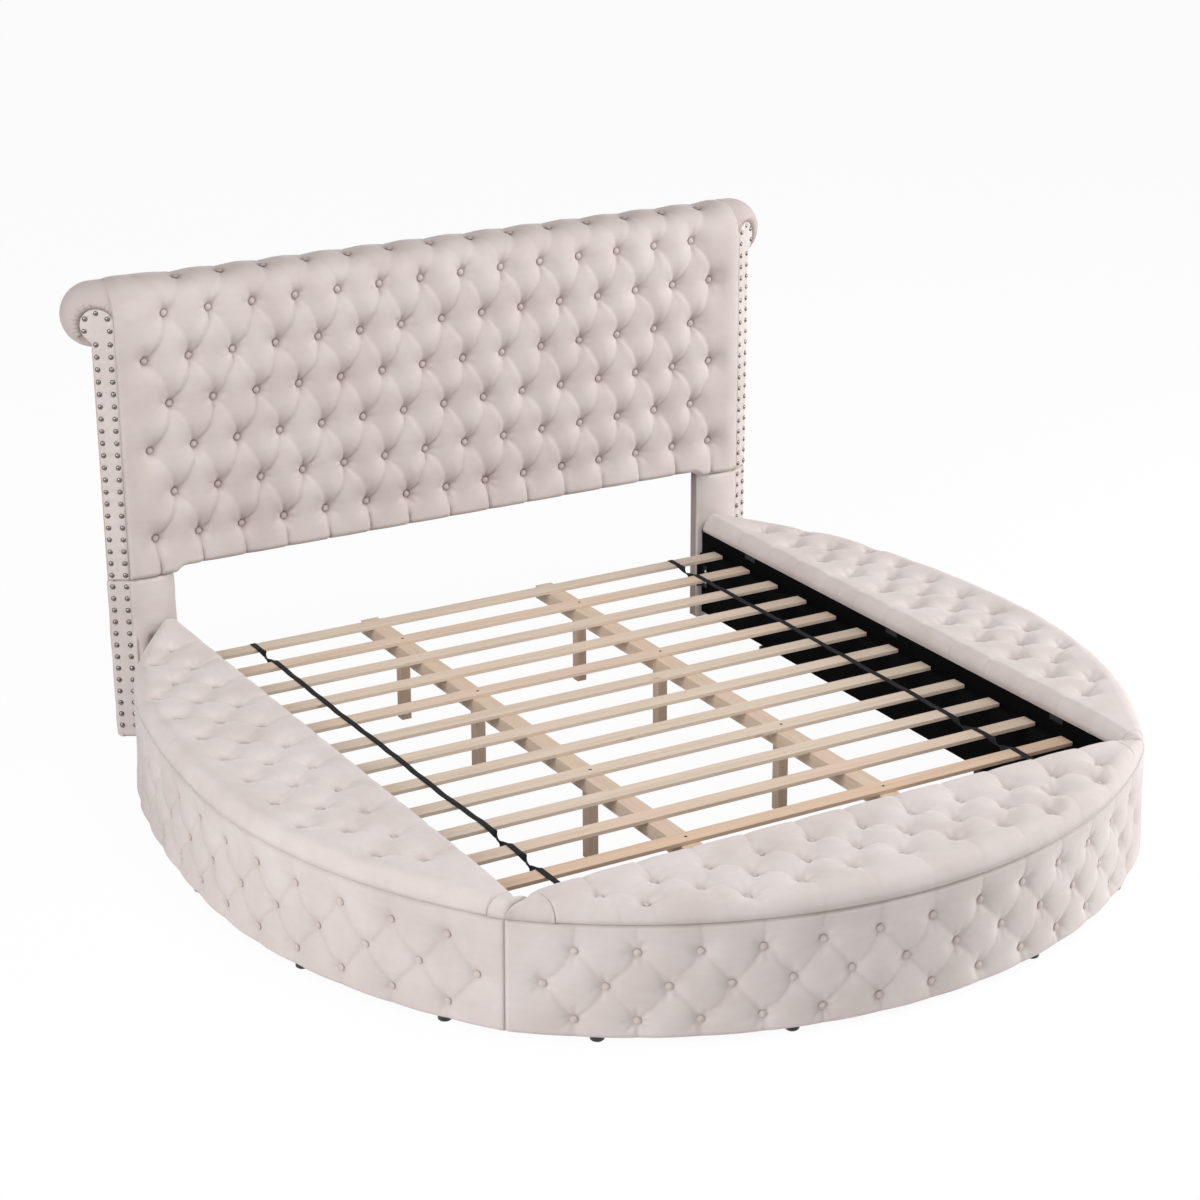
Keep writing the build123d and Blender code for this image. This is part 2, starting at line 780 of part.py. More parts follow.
def make_slat_base():
    """Slats, straps, ledgers, centre rails, their legs and the glides."""
    nodes = {}
    places = [first_slat + slat_pitch * k for k in range(slat_count)]
    slat_low = slat_top - slat_thickness
    half = slat_length / 2
    nodes["slats"] = Compound([
        block((-half, -y - slat_width / 2, slat_low), (half, -y + slat_width / 2, slat_top))
        for y in places])
    ledger = block((panel_face - ledger_width, -foot_panel_face, slat_low - ledger_height),
                   (panel_face, -rail_head_gap, slat_low))
    nodes["slat_ledgers"] = Compound([ledger, mirrored(ledger)])
    rail = block((rail_offset - rail_width / 2, -foot_panel_face, slat_low - rail_height),
                 (rail_offset + rail_width / 2, -rail_head_gap, slat_low))
    nodes["centre_rails"] = Compound([rail, mirrored(rail)])
    legs = []
    for number in leg_slat_index:
        y = places[number - 1]
        for side in (1, -1):
            low = (side * rail_offset - base_leg_size / 2, -y - base_leg_size / 2, 0)
            high = (side * rail_offset + base_leg_size / 2, -y + base_leg_size / 2, slat_low - rail_height)
            legs.append(block(low, high))
    nodes["base_legs"] = Compound(legs)
    nodes["slat_screws"] = Compound([
        facet_dome(Vector(side * rail_offset, -places[number - 1], slat_top), Vector(0, 0, 1),
                   screw_radius, screw_height, screw_sides)
        for number in screw_slat_index for side in (1, -1)])
    nodes["straps"] = Compound([
        block((x - strap_width / 2, -places[-1] - slat_width / 2, slat_top),
              (x + strap_width / 2, -places[0] + slat_width / 2, slat_top + strap_thickness))
        for x in (right_strap_offset, -left_strap_offset)])
    glides = []
    for share in side_glide_shares:
        down = opening_length * share
        x = outline_x(down) - glide_inset
        glides += [(x, -down), (-x, -down)]
    for share in foot_glide_shares:
        x = foot_lid_half_length * share
        y = -outline_foot(x) + glide_inset
        glides += [(x, y), (-x, y)]
    for share in inner_glide_shares:
        x = panel_outer + glide_radius
        down = opening_length * share
        glides += [(x, -down), (-x, -down)]
    body = extrude(RegularPolygon(glide_radius, glide_sides), amount=floor_gap)
    nodes["glides"] = Compound([Pos(x, y, 0) * body for x, y in glides])
    return nodes


def head_place(x, v, height):
    """A point of the headboard's front: v runs up the face, then round the roll."""
    turn = v - roll_centre_z
    if turn <= 0:
        share = max(0, min(1, (v - lowest_head_row) / (roll_centre_z - lowest_head_row)))
        front = button_plane + share * (roll_centre_y - roll_radius - button_plane)
        return Vector(x, front - height, v)
    angle = turn / roll_radius
    reach = roll_radius + height * (1 - (1 - roll_crown / head_crown) * min(1, 2 * angle / math.pi))
    return Vector(x, roll_centre_y - reach * math.cos(angle), roll_centre_z + reach * math.sin(angle))


def make_head_cushion():
    """The tufted front with its roll, cut in two along a level line, and its buttons."""
    half = cushion_half_width
    low = leg_height + joint_gap
    end = roll_centre_z + roll_radius * math.radians(roll_end_angle)
    rows = [lowest_head_row + k * head_row_pitch for k in range(head_rows + 1)]
    places = []
    for k in range(len(rows)):
        odd = k % 2
        count = head_columns - odd
        places.append([(i - (count - 1) / 2) * head_pitch for i in range(count)])
    bottom = [(-half, low)] + [(x, low) for x in places[0]] + [(half, low)]
    right = [(half, v) for v in rows[::2]]
    top = [(half, end)] + [(x, end) for x in reversed(places[-1])] + [(-half, end)]
    left = [(-half, v) for v in reversed(rows[::2])]
    net = Net(bottom + right + top + left)
    for k, row in enumerate(places):
        net.buttons |= {(x, rows[k]) for x in row}
        if k + 1 < len(places):
            for x in row:
                for near in places[k + 1]:
                    if abs(near - x) < head_pitch * 3 / 4:
                        net.fold((x, rows[k]), (near, rows[k + 1]))
        if k % 2 == 0:
            net.fold((row[-1], rows[k]), (half, rows[k]))
            net.fold((row[0], rows[k]), (-half, rows[k]))
    for x in places[0]:
        net.fold((x, rows[0]), (x, low))
    for x in places[-1]:
        net.fold((x, rows[-1]), (x, end))
    edge_share = 0.5
    faces = tufted_faces(net, head_place, head_crown, edge_share, 0.45, True)
    raised = edge_share * head_crown

    def edge(x, v):
        return head_place(x, v, raised)

    last = edge(0, end)
    foot_row = with_middles(bottom)
    faces.append(polygon([edge(*p) for p in foot_row]
                         + [Vector(half, cushion_back, low), Vector(-half, cushion_back, low)]))
    faces.append(polygon([edge(*p) for p in with_middles(top)]
                         + [Vector(-half, cushion_back, last.Z), Vector(half, cushion_back, last.Z)]))
    for x, run in ((half, [bottom[-1], *right, top[0]]), (-half, [top[-1], *left, bottom[0]])):
        run = sorted(run, key=lambda p: p[1])
        faces.append(polygon([edge(*p) for p in with_middles(run)]
                             + [Vector(x, cushion_back, last.Z), Vector(x, cushion_back, low)]))
    corners = [(-half, low), (half, low), (half, last.Z), (-half, last.Z)]
    faces.append(polygon([Vector(x, cushion_back, z) for x, z in corners]))
    whole = closed_solid(faces)
    whole -= block((-leg_inner_x, -half, 0), (leg_inner_x, half, gap_height))
    whole -= board_shape(cushion_back, board_thickness, board_top())
    rail_front = cushion_back + board_thickness
    whole -= block((-half - cut, rail_front, 0), (half + cut, rail_front + top_rail_width, board_top()))
    joint = (0, 0, cushion_top_joint)
    domes = []
    for x, v in sorted(net.buttons):
        seat = head_place(x, v, 0)
        out = head_place(x, v, 1) - seat
        domes.append(facet_dome(seat, out, head_button_radius, head_button_height, head_button_sides))
    return {
        "headboard_cushion": front_of(whole, Plane(origin=joint, z_dir=(0, 0, -1))),
        "headboard_roll": front_of(whole, Plane(origin=joint)),
        "headboard_buttons": Compound(domes),
    }


def board_top():
    return roll_centre_z + top_rail_height / 4


def board_shape(front, thickness, top):
    """The headboard's outline as a board: a rectangle with an ear down to each leg."""
    half = cushion_half_width
    low = leg_height + joint_gap
    board = block((-half, front, low), (half, front + thickness, top))
    return board - block((-leg_inner_x, front - cut, 0), (leg_inner_x, front + thickness + cut, gap_height))


def strip_plane():
    """Plane of the splayed nail strip: X runs outward along it, Y runs up and Z points out."""
    along = Vector(strip_outer_x - strip_inner_x, strip_outer_y, 0)
    normal = along.cross(Vector(0, 0, 1))
    return Plane(origin=(strip_inner_x, 0, 0), x_dir=along, z_dir=normal)


def strip_width():
    return math.hypot(strip_outer_x - strip_inner_x, strip_outer_y)


def leg_profile(skin):
    """Plan of a headboard leg, drawn in by a skin: flat front, soft nose and splayed outer end."""
    line = [
        (leg_inner_x + skin, leg_back - skin),
        (leg_inner_x + skin, leg_front + skin),
        (nose_start_x, leg_front + skin),
    ]
    tip = (nose_x, leg_front - nose_reach + skin)
    plane = strip_plane()
    inner = plane.from_local_coords(Vector(skin / 2, 0, -skin))
    outer = plane.from_local_coords(Vector(strip_width() - skin / 2, 0, -skin))
    edges = [Polyline(*line), ThreePointArc(line[-1], tip, (inner.X, inner.Y))]
    rest = [(inner.X, inner.Y), (outer.X, outer.Y), (outer.X, leg_back - skin), line[0]]
    return make_face([*edges, Polyline(*rest)])


def make_legs():
    """The headboard's two lower legs: a timber core in a padded sleeve."""
    core = extrude(leg_profile(leg_cover_thickness), amount=leg_height)
    sleeve = Pos(0, 0, leg_floor_gap) * extrude(leg_profile(0), amount=leg_height - leg_floor_gap)
    sleeve = sleeve - core
    return {
        "headboard_leg_right": core,
        "headboard_leg_left": mirrored(core),
        "leg_cover_right": sleeve,
        "leg_cover_left": mirrored(sleeve),
    }


def facing_face():
    """Outline of the nailed facing in its own plane: a straight strip that ends in a scroll head."""
    plane = strip_plane()
    width = strip_width()
    low = leg_height + joint_gap
    centre, radius = facing_head_centre, facing_head_radius
    high = facing_head_height
    up = Polyline((width, low), (0, low), (centre - radius, facing_neck_height),
                  (centre - radius, high))
    over = ThreePointArc((centre - radius, high), (centre, high + radius), (centre + radius, high))
    tuck = ThreePointArc(
        (centre + radius, high),
        (centre + radius * math.cos(math.radians(-35)), high + radius * math.sin(math.radians(-35))),
        (facing_neck_width, facing_neck_height))
    down = Line((facing_neck_width, facing_neck_height), (width, low))
    return plane * make_face([up, over, tuck, down])


def round_scroll(start):
    """The padded end of the roll: a short barrel that closes in a dome, with flat facets."""
    def ring(x, radius):
        turns = [2 * math.pi * k / roll_end_sides for k in range(roll_end_sides)]
        return [Vector(x, roll_centre_y - radius * math.cos(a), roll_centre_z + radius * math.sin(a))
                for a in turns]

    bends = [math.pi / 2 * k / roll_end_rings for k in range(roll_end_rings)]
    rings = [ring(start, roll_end_radius)]
    rings += [ring(roll_end_x + roll_end_radius * math.sin(b), roll_end_radius * math.cos(b)) for b in bends]
    tip = Vector(roll_end_x + roll_end_radius, roll_centre_y, roll_centre_z)
    faces = [polygon(rings[0])]
    for one, other in zip(rings, rings[1:]):
        for k in range(roll_end_sides):
            faces.append(polygon([one[k - 1], one[k], other[k], other[k - 1]]))
    faces += [polygon([rings[-1][k - 1], rings[-1][k], tip]) for k in range(roll_end_sides)]
    return closed_solid(faces)


def facing_nails():
    """Places of the nails on the upper facing, in the strip's plane: two columns and the scroll."""
    width = strip_width()
    low = leg_height + nail_pitch / 2
    count = int((facing_neck_height - low) / nail_pitch) + 1
    columns = [(x, low + k * nail_pitch) for k in range(count) for x in (nail_edge, width - nail_edge)]
    radius = facing_head_radius - nail_edge
    turns = int(math.pi * radius * 4 / 3 / nail_pitch)
    start, sweep = math.radians(-20), math.radians(220)
    ring = [(facing_head_centre + radius * math.cos(start + sweep * k / turns),
             facing_head_height + radius * math.sin(start + sweep * k / turns)) for k in range(turns + 1)]
    return columns + ring


def leg_nails():
    width = strip_width()
    count = int((leg_height - nail_pitch / 2) / nail_pitch) + 1
    return [(x, nail_pitch / 2 + k * nail_pitch)
            for k in range(count) for x in (nail_edge, width - nail_edge)]


def make_facings():
    """The upper posts, the padded ends of the roll, the nailed facings and all nails."""
    nodes = {}
    plane = strip_plane()
    facing = extrude(facing_face(), amount=-facing_thickness)
    nodes["facing_right"] = facing
    nodes["facing_left"] = mirrored(facing)
    low = leg_height + joint_gap
    back = plane.from_local_coords(Vector(0, 0, -facing_thickness))
    far = plane.from_local_coords(Vector(strip_width(), 0, -facing_thickness))
    start = cushion_half_width
    slope = (far.Y - back.Y) / (far.X - back.X)
    near_y = back.Y + slope * (start - back.X)
    corners = [(start, near_y), (far.X, far.Y), (far.X, leg_back), (start, leg_back)]
    post = Pos(0, 0, low) * extrude(make_face(Polyline(*corners, close=True)),
                                    amount=cushion_top_joint - low)
    nodes["headboard_post_right"] = post
    nodes["headboard_post_left"] = mirrored(post)
    seat = Plane(origin=(back.X, back.Y, 0), z_dir=-plane.z_dir)
    scroll = front_of(round_scroll(start), seat) - post
    nodes["roll_end_right"] = scroll
    nodes["roll_end_left"] = mirrored(scroll)

    def nails(places):
        right = [facet_dome(plane.from_local_coords(Vector(x, z, 0)), plane.z_dir,
                            nail_radius, nail_height, nail_sides) for x, z in places]
        return Compound([*right, *[mirrored(nail) for nail in right]])

    nodes["facing_nails"] = nails(facing_nails())
    nodes["leg_nails"] = nails(leg_nails())
    return nodes


def make_head_frame():
    """Board, top rail, back cover and the steel that joins headboard, legs and benches."""
    half = cushion_half_width
    rail_front = cushion_back + board_thickness
    nodes = {
        "headboard_board": board_shape(cushion_back, board_thickness, board_top()),
        "headboard_top_rail": block((-half, rail_front, board_top() - top_rail_height),
                                    (half, rail_front + top_rail_width, board_top())),
        "headboard_back_cover": board_shape(rail_front, back_cover_thickness,
                                            board_top() - top_rail_height),
    }
    plates, bolts = [], []
    back = leg_back
    middle = leg_height + joint_gap / 2
    for side in (1, -1):
        x = side * plate_x
        plates.append(block((x - plate_width / 2, back, middle - plate_height / 2),
                            (x + plate_width / 2, back + plate_thickness, middle + plate_height / 2)))
        for dx in (-plate_width / 4, plate_width / 4):
            for dz in (-plate_height / 4, plate_height / 4):
                bolts.append(facet_dome(Vector(x + dx, back + plate_thickness, middle + dz),
                                        Vector(0, 1, 0), bolt_radius, bolt_head, bolt_sides))
    brackets = []
    top = bracket_low + bracket_height
    arm = block((panel_face - bracket_thickness, leg_front - bracket_arm, bracket_low),
                (panel_face, leg_front, top))
    foot = block((panel_face - bracket_foot, leg_front - bracket_thickness, bracket_low),
                 (panel_face, leg_front, top))
    bracket = arm + foot
    for shape in (bracket, mirrored(bracket)):
        brackets.append(shape)
    for side in (1, -1):
        for share in (1 / 4, 3 / 4):
            place = Vector(side * (panel_face - bracket_thickness), leg_front - bracket_arm * 3 / 4,
                           bracket_low + bracket_height * share)
            bolts.append(facet_dome(place, Vector(-side, 0, 0), bolt_radius, bolt_head, bolt_sides))
    nodes["joint_plates"] = Compound(plates)
    nodes["bed_brackets"] = Compound(brackets)
    nodes["frame_bolts"] = Compound(bolts)
    return nodes


def main():
    nodes = {}
    for make in (make_benches, make_lids, make_hinges, make_slat_base, make_head_cushion,
                 make_legs, make_facings, make_head_frame):
        nodes.update(make())
    box = Compound(list(nodes.values())).bounding_box()
    shift = Pos(-(box.min.X + box.max.X) / 2, -(box.min.Y + box.max.Y) / 2, -box.min.Z)
    os.makedirs("parts", exist_ok=True)
    for name, shape in nodes.items():
        export_step(shift * shape, f"parts/{name}.step")
    print(len(nodes), "nodes, box", box.size, "moved by", shift.position)


main()
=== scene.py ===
"""Looks of the round bed: tufted velvet on the headboard, benches and lids, with timber, webbing and nails.

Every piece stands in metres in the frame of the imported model. Plan sizes are given from the front of the
headboard's legs, so HEAD_Y is added to reach the frame."""
import logging
import math
from dataclasses import dataclass, field
from enum import Enum
from typing import Callable

import bmesh
import bpy
import numpy as np
from mathutils import Matrix, Vector


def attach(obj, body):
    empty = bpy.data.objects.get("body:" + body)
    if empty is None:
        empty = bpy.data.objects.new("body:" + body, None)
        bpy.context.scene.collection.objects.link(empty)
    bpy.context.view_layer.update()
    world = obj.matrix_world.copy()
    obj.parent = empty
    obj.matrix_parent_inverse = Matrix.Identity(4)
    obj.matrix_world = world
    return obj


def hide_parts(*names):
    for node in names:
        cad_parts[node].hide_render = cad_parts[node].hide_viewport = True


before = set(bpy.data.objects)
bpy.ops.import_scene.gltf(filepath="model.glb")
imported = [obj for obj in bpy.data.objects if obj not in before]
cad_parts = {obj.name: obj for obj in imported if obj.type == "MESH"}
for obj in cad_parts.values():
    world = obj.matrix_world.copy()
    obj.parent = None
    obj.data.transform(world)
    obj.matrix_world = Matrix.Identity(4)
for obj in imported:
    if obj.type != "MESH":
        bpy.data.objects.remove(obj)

log = logging.getLogger("round_bed")

HEAD_Y: float = 1.24657

Array = np.ndarray
Placed = tuple[Array, Array, Array, Array]
Surface = Callable[[Array, Array], Placed]
Spot = tuple[float, float]
Triple = tuple[float, float, float]
Socket = bpy.types.NodeSocket
Material = bpy.types.Material
Mesh = bpy.types.Mesh
Object = bpy.types.Object

WHITE: Triple = (1.0, 1.0, 1.0)


class Body(Enum):
    """The moving bodies of the bed."""

    FRAME = "bed_frame"
    LID_RIGHT = "lid_right"
    LID_LEFT = "lid_left"
    LID_FOOT = "lid_foot"


class Side(Enum):
    """Sides of the ring as seen from the foot of the bed; the values of right and left mirror a shape."""

    RIGHT = 1
    LEFT = -1
    FOOT = 0

    @property
    def word(self) -> str:
        """The side's name inside a node's name."""
        return self.name.lower()


PAIR: tuple[Side, Side] = (Side.RIGHT, Side.LEFT)


class Grain(Enum):
    """Axis along which the grain of a timber runs."""

    ACROSS = 0
    DOWN = 1
    UPRIGHT = 2


class Nodes:
    """The nodes of a new material or world, and short ways to add to them."""

    def __init__(self, name: str, world: bool = False) -> None:
        """Start with no nodes.

        Args:
            name: Name of the material or world.
            world: Whether it is a world.
        """
        self.owner = (bpy.data.worlds if world else bpy.data.materials).new(name)
        self.owner.use_nodes = True
        self.tree = self.owner.node_tree
        self.tree.nodes.clear()

    def add(self, kind: str, links: dict | None = None, **values: object) -> bpy.types.Node:
        """Add a node.

        Args:
            kind: Node type without the ShaderNode prefix.
            links: Input name or index to the socket or the value it takes.
            **values: Properties set on the node itself.

        Returns:
            The node.
        """
        node = self.tree.nodes.new("ShaderNode" + kind)
        for key, value in values.items():
            setattr(node, key, value)
        for key, source in (links or {}).items():
            if isinstance(source, Socket):
                self.tree.links.new(source, node.inputs[key])
            else:
                node.inputs[key].default_value = source
        return node

    def place(self) -> Socket:
        """Coordinates on the piece itself, in metres."""
        return self.add("TexCoord").outputs["Object"]

    def cloth(self) -> Socket:
        """Coordinates of the piece's cloth map, in metres."""
        return self.add("UVMap", uv_map="cloth").outputs[0]

    def math(self, operation: str, first: object, second: object = 0.0) -> Socket:
        """Result of a Math node on two sockets or numbers."""
        return self.add("Math", {0: first, 1: second}, operation=operation).outputs[0]

    def noise(self, vector: Socket, scale: float, detail: float = 2.0, rough: float = 0.5) -> Socket:
        """Grey noise at a scale given in repeats for each metre."""
        links = {"Vector": vector, "Scale": scale, "Detail": detail, "Roughness": rough}
        return self.add("TexNoise", links).outputs[0]

    def stretch(self, vector: Socket, scale: Triple, turn: float = 0.0) -> Socket:
        """Coordinates scaled along each axis and turned about Z."""
        links = {"Vector": vector, "Scale": scale, "Rotation": (0.0, 0.0, turn)}
        return self.add("Mapping", links).outputs[0]

    def ramp(self, factor: Socket, stops: list[tuple[float, tuple]]) -> Socket:
        """Colour ramp.

        Args:
            factor: Socket that drives it.
            stops: Places from 0 to 1 with their colours.

        Returns:
            The colour socket.
        """
        node = self.add("ValToRGB", {"Fac": factor})
        line = node.color_ramp
        while len(line.elements) < len(stops):
            line.elements.new(0.5)
        for element, (place, colour) in zip(line.elements, stops):
            element.position = place
            element.color = (*colour, 1.0)
        return node.outputs[0]

    def mix(self, share: object, one: object, other: object, way: str = "MIX") -> Socket:
        """Mix two colours.

        Args:
            share: Share of the other colour, a socket or a number.
            one: A socket or colour.
            other: A socket or colour.
            way: How the two are mixed.

        Returns:
            The colour socket.
        """
        one, other = (source if isinstance(source, Socket) else (*source, 1.0) for source in (one, other))
        return self.add("Mix", {0: share, 6: one, 7: other}, data_type="RGBA", blend_type=way).outputs[2]

    def shade(self, one: Socket, other: object, share: object = 1.0) -> Socket:
        """One colour darkened by another."""
        return self.mix(share, one, other, "MULTIPLY")

    def bump(self, height: Socket, depth: float, below: Socket | None = None) -> Socket:
        """Bump of a depth in metres, laid over another bump where one is given."""
        links = {"Height": height, "Distance": depth, "Strength": 1.0}
        return self.add("Bump", links if below is None else links | {"Normal": below}).outputs[0]

    def white_seen(self, shader: Socket, share: float) -> Socket:
        """Mix plain white into a shader where the camera or a reflection sees it.

        Args:
            shader: The shader that the rest of the light meets.
            share: How much white is seen.

        Returns:
            The mixed shader.
        """
        path = self.add("LightPath").outputs
        seen = self.math("MAXIMUM", path["Is Camera Ray"], path["Is Glossy Ray"])
        seen = self.math("MAXIMUM", seen, path["Is Transmission Ray"])
        white = self.add("Emission").outputs[0]
        return self.add("MixShader", {0: self.math("MULTIPLY", seen, share), 1: shader, 2: white}).outputs[0]

    def close(self, shader: Socket) -> Material | bpy.types.World:
        """Put a shader on the output.

        Args:
            shader: The whole shader.

        Returns:
            The material or world.
        """
        kind = "OutputWorld" if isinstance(self.owner, bpy.types.World) else "OutputMaterial"
        self.tree.links.new(shader, self.add(kind).inputs[0])
        return self.owner

    def finish(self, links: dict) -> Material:
        """The material, closed with the main shader on these inputs."""
        return self.close(self.add("BsdfPrincipled", links).outputs[0])


@dataclass(frozen=True)
class Velvet:
    """Short-piled velvet that is brushed both ways, with painted shade mixed in where its fold attribute
    says.
    """

    name: str = "velvet"
    pile: Triple = (0.59, 0.52, 0.497)
    brushed: Triple = (0.655, 0.59, 0.572)
    # colour of the painted shade in folds, hollows and shaded faces
    fold: Triple = (0.34, 0.27, 0.245)
    streak: Triple = (0.955, 0.95, 0.945)
    speck: Triple = (0.95, 0.95, 0.95)
    sheen: float = 0.32

    def make(self) -> Material:
        """Make the velvet, with patches and a pile that follow the piece's own map.

        Returns:
            The material.
        """
        n = Nodes(self.name)
        cloth = n.cloth()
        place = n.place()
        # the fold attribute gives how much painted shade each point gets
        crease = n.add("Attribute", attribute_name="fold").outputs["Fac"]
        patch = n.noise(place, 5.0, 3.0, 0.55)
        streak = n.noise(n.stretch(cloth, (18, 60, 1), 0.5), 1.0, 4.0, 0.7)
        fine = n.noise(cloth, 1500.0, 1.0)
        broad = n.ramp(patch, [(0.35, self.pile), (0.65, self.brushed)])
        streaks = n.ramp(streak, [(0.3, self.streak), (0.7, WHITE)])
        grain = n.ramp(fine, [(0.3, self.speck), (0.7, WHITE)])
        # painted shade: the fold colour mixed in by the fold attribute
        toned_with_painted_shade = n.mix(crease, n.shade(n.shade(broad, streaks), grain), self.fold)
        soft = n.bump(n.noise(place, 48.0, 3.0, 0.55), 0.0006)
        pile = n.bump(fine, 0.00025, soft)
        return n.finish({"Base Color": toned_with_painted_shade, "Roughness": 0.82, "Normal": pile,
                         "Sheen Weight": self.sheen, "Sheen Roughness": 0.35,
                         "Sheen Tint": (1.0, 0.97, 0.96, 1.0), "Specular IOR Level": 0.25})


@dataclass(frozen=True)
class Pine:
    """Pale sawn pine with its own tone on each board."""

    name: str
    along: Grain
    light: Triple = (0.665, 0.55, 0.455)
    dark: Triple = (0.52, 0.41, 0.325)
    tone: float = 0.6
    board_pitch: float = 0.172
    board_shift: float = 0.014
    rosy_board: float = 5.0
    rosy: Triple = (1.0, 0.86, 0.76)
    thread: Triple = (0.90, 0.88, 0.86)
    knot: Triple = (0.45, 0.27, 0.15)
    tints: tuple[Triple, ...] = ((1.0, 0.90, 0.84), (0.93, 0.93, 0.90), (1.0, 1.0, 0.98), (0.96, 0.88, 0.80))

    def scale(self, long: float, fine: float) -> Triple:
        """Scale of a pattern that is drawn out along the grain and fine across it."""
        return tuple(long if axis == self.along.value else fine for axis in range(3))

    def make(self) -> Material:
        """Make the timber.

        Returns:
            The material.
        """
        n = Nodes(self.name)
        place = n.place()
        x, y = n.add("SeparateXYZ", {0: place}).outputs[:2]
        lanes = y if self.along is Grain.ACROSS else x
        lanes = n.math("ADD", lanes, 10 * self.board_pitch - self.board_shift)
        board = n.math("FLOOR", n.math("DIVIDE", lanes, self.board_pitch))
        luck = n.add("TexWhiteNoise", {"W": board}, noise_dimensions="1D").outputs["Value"]
        shift = n.add("CombineXYZ", {0: n.math("MULTIPLY", luck, 7.0)}).outputs[0]
        moved = n.add("VectorMath", {0: place, 1: shift}, operation="ADD").outputs[0]
        bands = n.noise(n.stretch(moved, self.scale(1.2, 26)), 1.6, 5.0, 0.62)
        fibre = n.noise(n.stretch(moved, self.scale(6, 420)), 1.0, 2.0)
        wood = n.ramp(bands, [(0.36, self.dark), (0.5, self.light), (0.64, self.dark)])
        wood = n.shade(n.mix(0.6, wood, self.light), n.ramp(fibre, [(0.3, self.thread), (0.7, WHITE)]))
        wood = n.shade(wood, n.ramp(luck, list(zip((0.0, 0.35, 0.7, 1.0), self.tints))), self.tone)
        rosy = n.add("Math", {0: board, 1: self.rosy_board, 2: 0.5}, operation="COMPARE").outputs[0]
        wood = n.shade(wood, self.rosy, n.math("MULTIPLY", rosy, 0.8))
        cells = n.add("TexVoronoi", {"Vector": n.stretch(moved, self.scale(3.2, 9.0)), "Scale": 1.0})
        wood = n.shade(wood, n.ramp(cells.outputs["Distance"], [(0.03, self.knot), (0.07, WHITE)]), 0.5)
        return n.finish({"Base Color": wood, "Roughness": 0.62, "Normal": n.bump(fibre, 0.0002),
                         "Specular IOR Level": 0.3})


@dataclass(frozen=True)
class Lining:
    """Black non-woven lining with its pressed dots and loose fibres."""

    name: str = "black_lining"
    colour: Triple = (0.0012, 0.0012, 0.0014)
    worn: Triple = (0.004, 0.004, 0.0045)

    def make(self) -> Material:
        """Make the lining.

        Returns:
            The material.
        """
        n = Nodes(self.name)
        place = n.place()
        dots = n.add("TexVoronoi", {"Vector": place, "Scale": 420.0, "Randomness": 0.0}).outputs["Distance"]
        fibres = n.noise(n.stretch(place, (60, 60, 700)), 1.0, 3.0)
        cloudy = n.noise(place, 6.0, 3.0)
        tone = n.ramp(n.math("MULTIPLY", fibres, n.math("ADD", cloudy, 0.5)),
                      [(0.35, self.colour), (0.75, self.worn)])
        return n.finish({"Base Color": tone, "Roughness": 0.95, "Normal": n.bump(dots, 0.0003),
                         "Specular IOR Level": 0.05})


@dataclass(frozen=True)
class Panel:
    """Raw board: pressed wood or ply, seen only underneath and when a lid stands open."""

    name: str
    light: Triple = (0.55, 0.42, 0.29)
    dark: Triple = (0.40, 0.29, 0.19)

    def make(self) -> Material:
        """Make the board.

        Returns:
            The material.
        """
        n = Nodes(self.name)
        place = n.place()
        grain = n.noise(n.stretch(place, (3, 60, 60)), 1.5, 5.0, 0.6)
        chips = n.noise(place, 240.0, 2.0)
        tone = n.ramp(grain, [(0.35, self.dark), (0.65, self.light)])
        tone = n.mix(0.25, tone, n.ramp(chips, [(0.4, self.dark), (0.6, self.light)]))
        return n.finish({"Base Color": tone, "Roughness": 0.7, "Normal": n.bump(chips, 0.0003)})


@dataclass(frozen=True)
class Metal:
    """A metal with faint scuffs in its polish."""

    name: str
    colour: Triple
    rough: float

    def make(self) -> Material:
        """Make the metal.

        Returns:
            The material.
        """
        n = Nodes(self.name)
        scuffs = n.noise(n.place(), 160.0, 4.0, 0.6)
        low, high = self.rough * 0.8, self.rough * 1.3
        rough = n.add("MapRange", {"Value": scuffs, "To Min": low, "To Max": high}).outputs[0]
        dull = tuple(0.82 * c for c in self.colour)
        tone = n.ramp(scuffs, [(0.35, dull), (0.6, self.colour)])
        return n.finish({"Base Color": tone, "Metallic": 1.0, "Roughness": rough,
                         "Normal": n.bump(scuffs, 0.00004)})


@dataclass(frozen=True)
class Webbing:
    """Black woven webbing that follows the strap's own map."""

    name: str = "webbing"

    def make(self) -> Material:
        """Make the webbing.

        Returns:
            The material.
        """
        n = Nodes(self.name)
        weave = n.add("TexWave", {"Vector": n.stretch(n.cloth(), (1, 1, 1), 0.78), "Scale": 110.0,
                                  "Distortion": 0.5}).outputs["Fac"]
        tone = n.ramp(weave, [(0.2, (0.003, 0.003, 0.004)), (0.8, (0.014, 0.014, 0.016))])
        return n.finish({"Base Color": tone, "Roughness": 0.8, "Normal": n.bump(weave, 0.0004),
                         "Specular IOR Level": 0.2})


@dataclass(frozen=True)
class Plastic:
    """Moulded black plastic with a fine spark texture."""

    name: str = "black_plastic"

    def make(self) -> Material:
        """Make the plastic.

        Returns:
            The material.
        """
        n = Nodes(self.name)
        spark = n.noise(n.place(), 700.0, 2.0)
        tone = n.ramp(spark, [(0.3, (0.010, 0.010, 0.011)), (0.7, (0.022, 0.022, 0.024))])
        return n.finish({"Base Color": tone, "Roughness": 0.45, "Normal": n.bump(spark, 0.00015)})


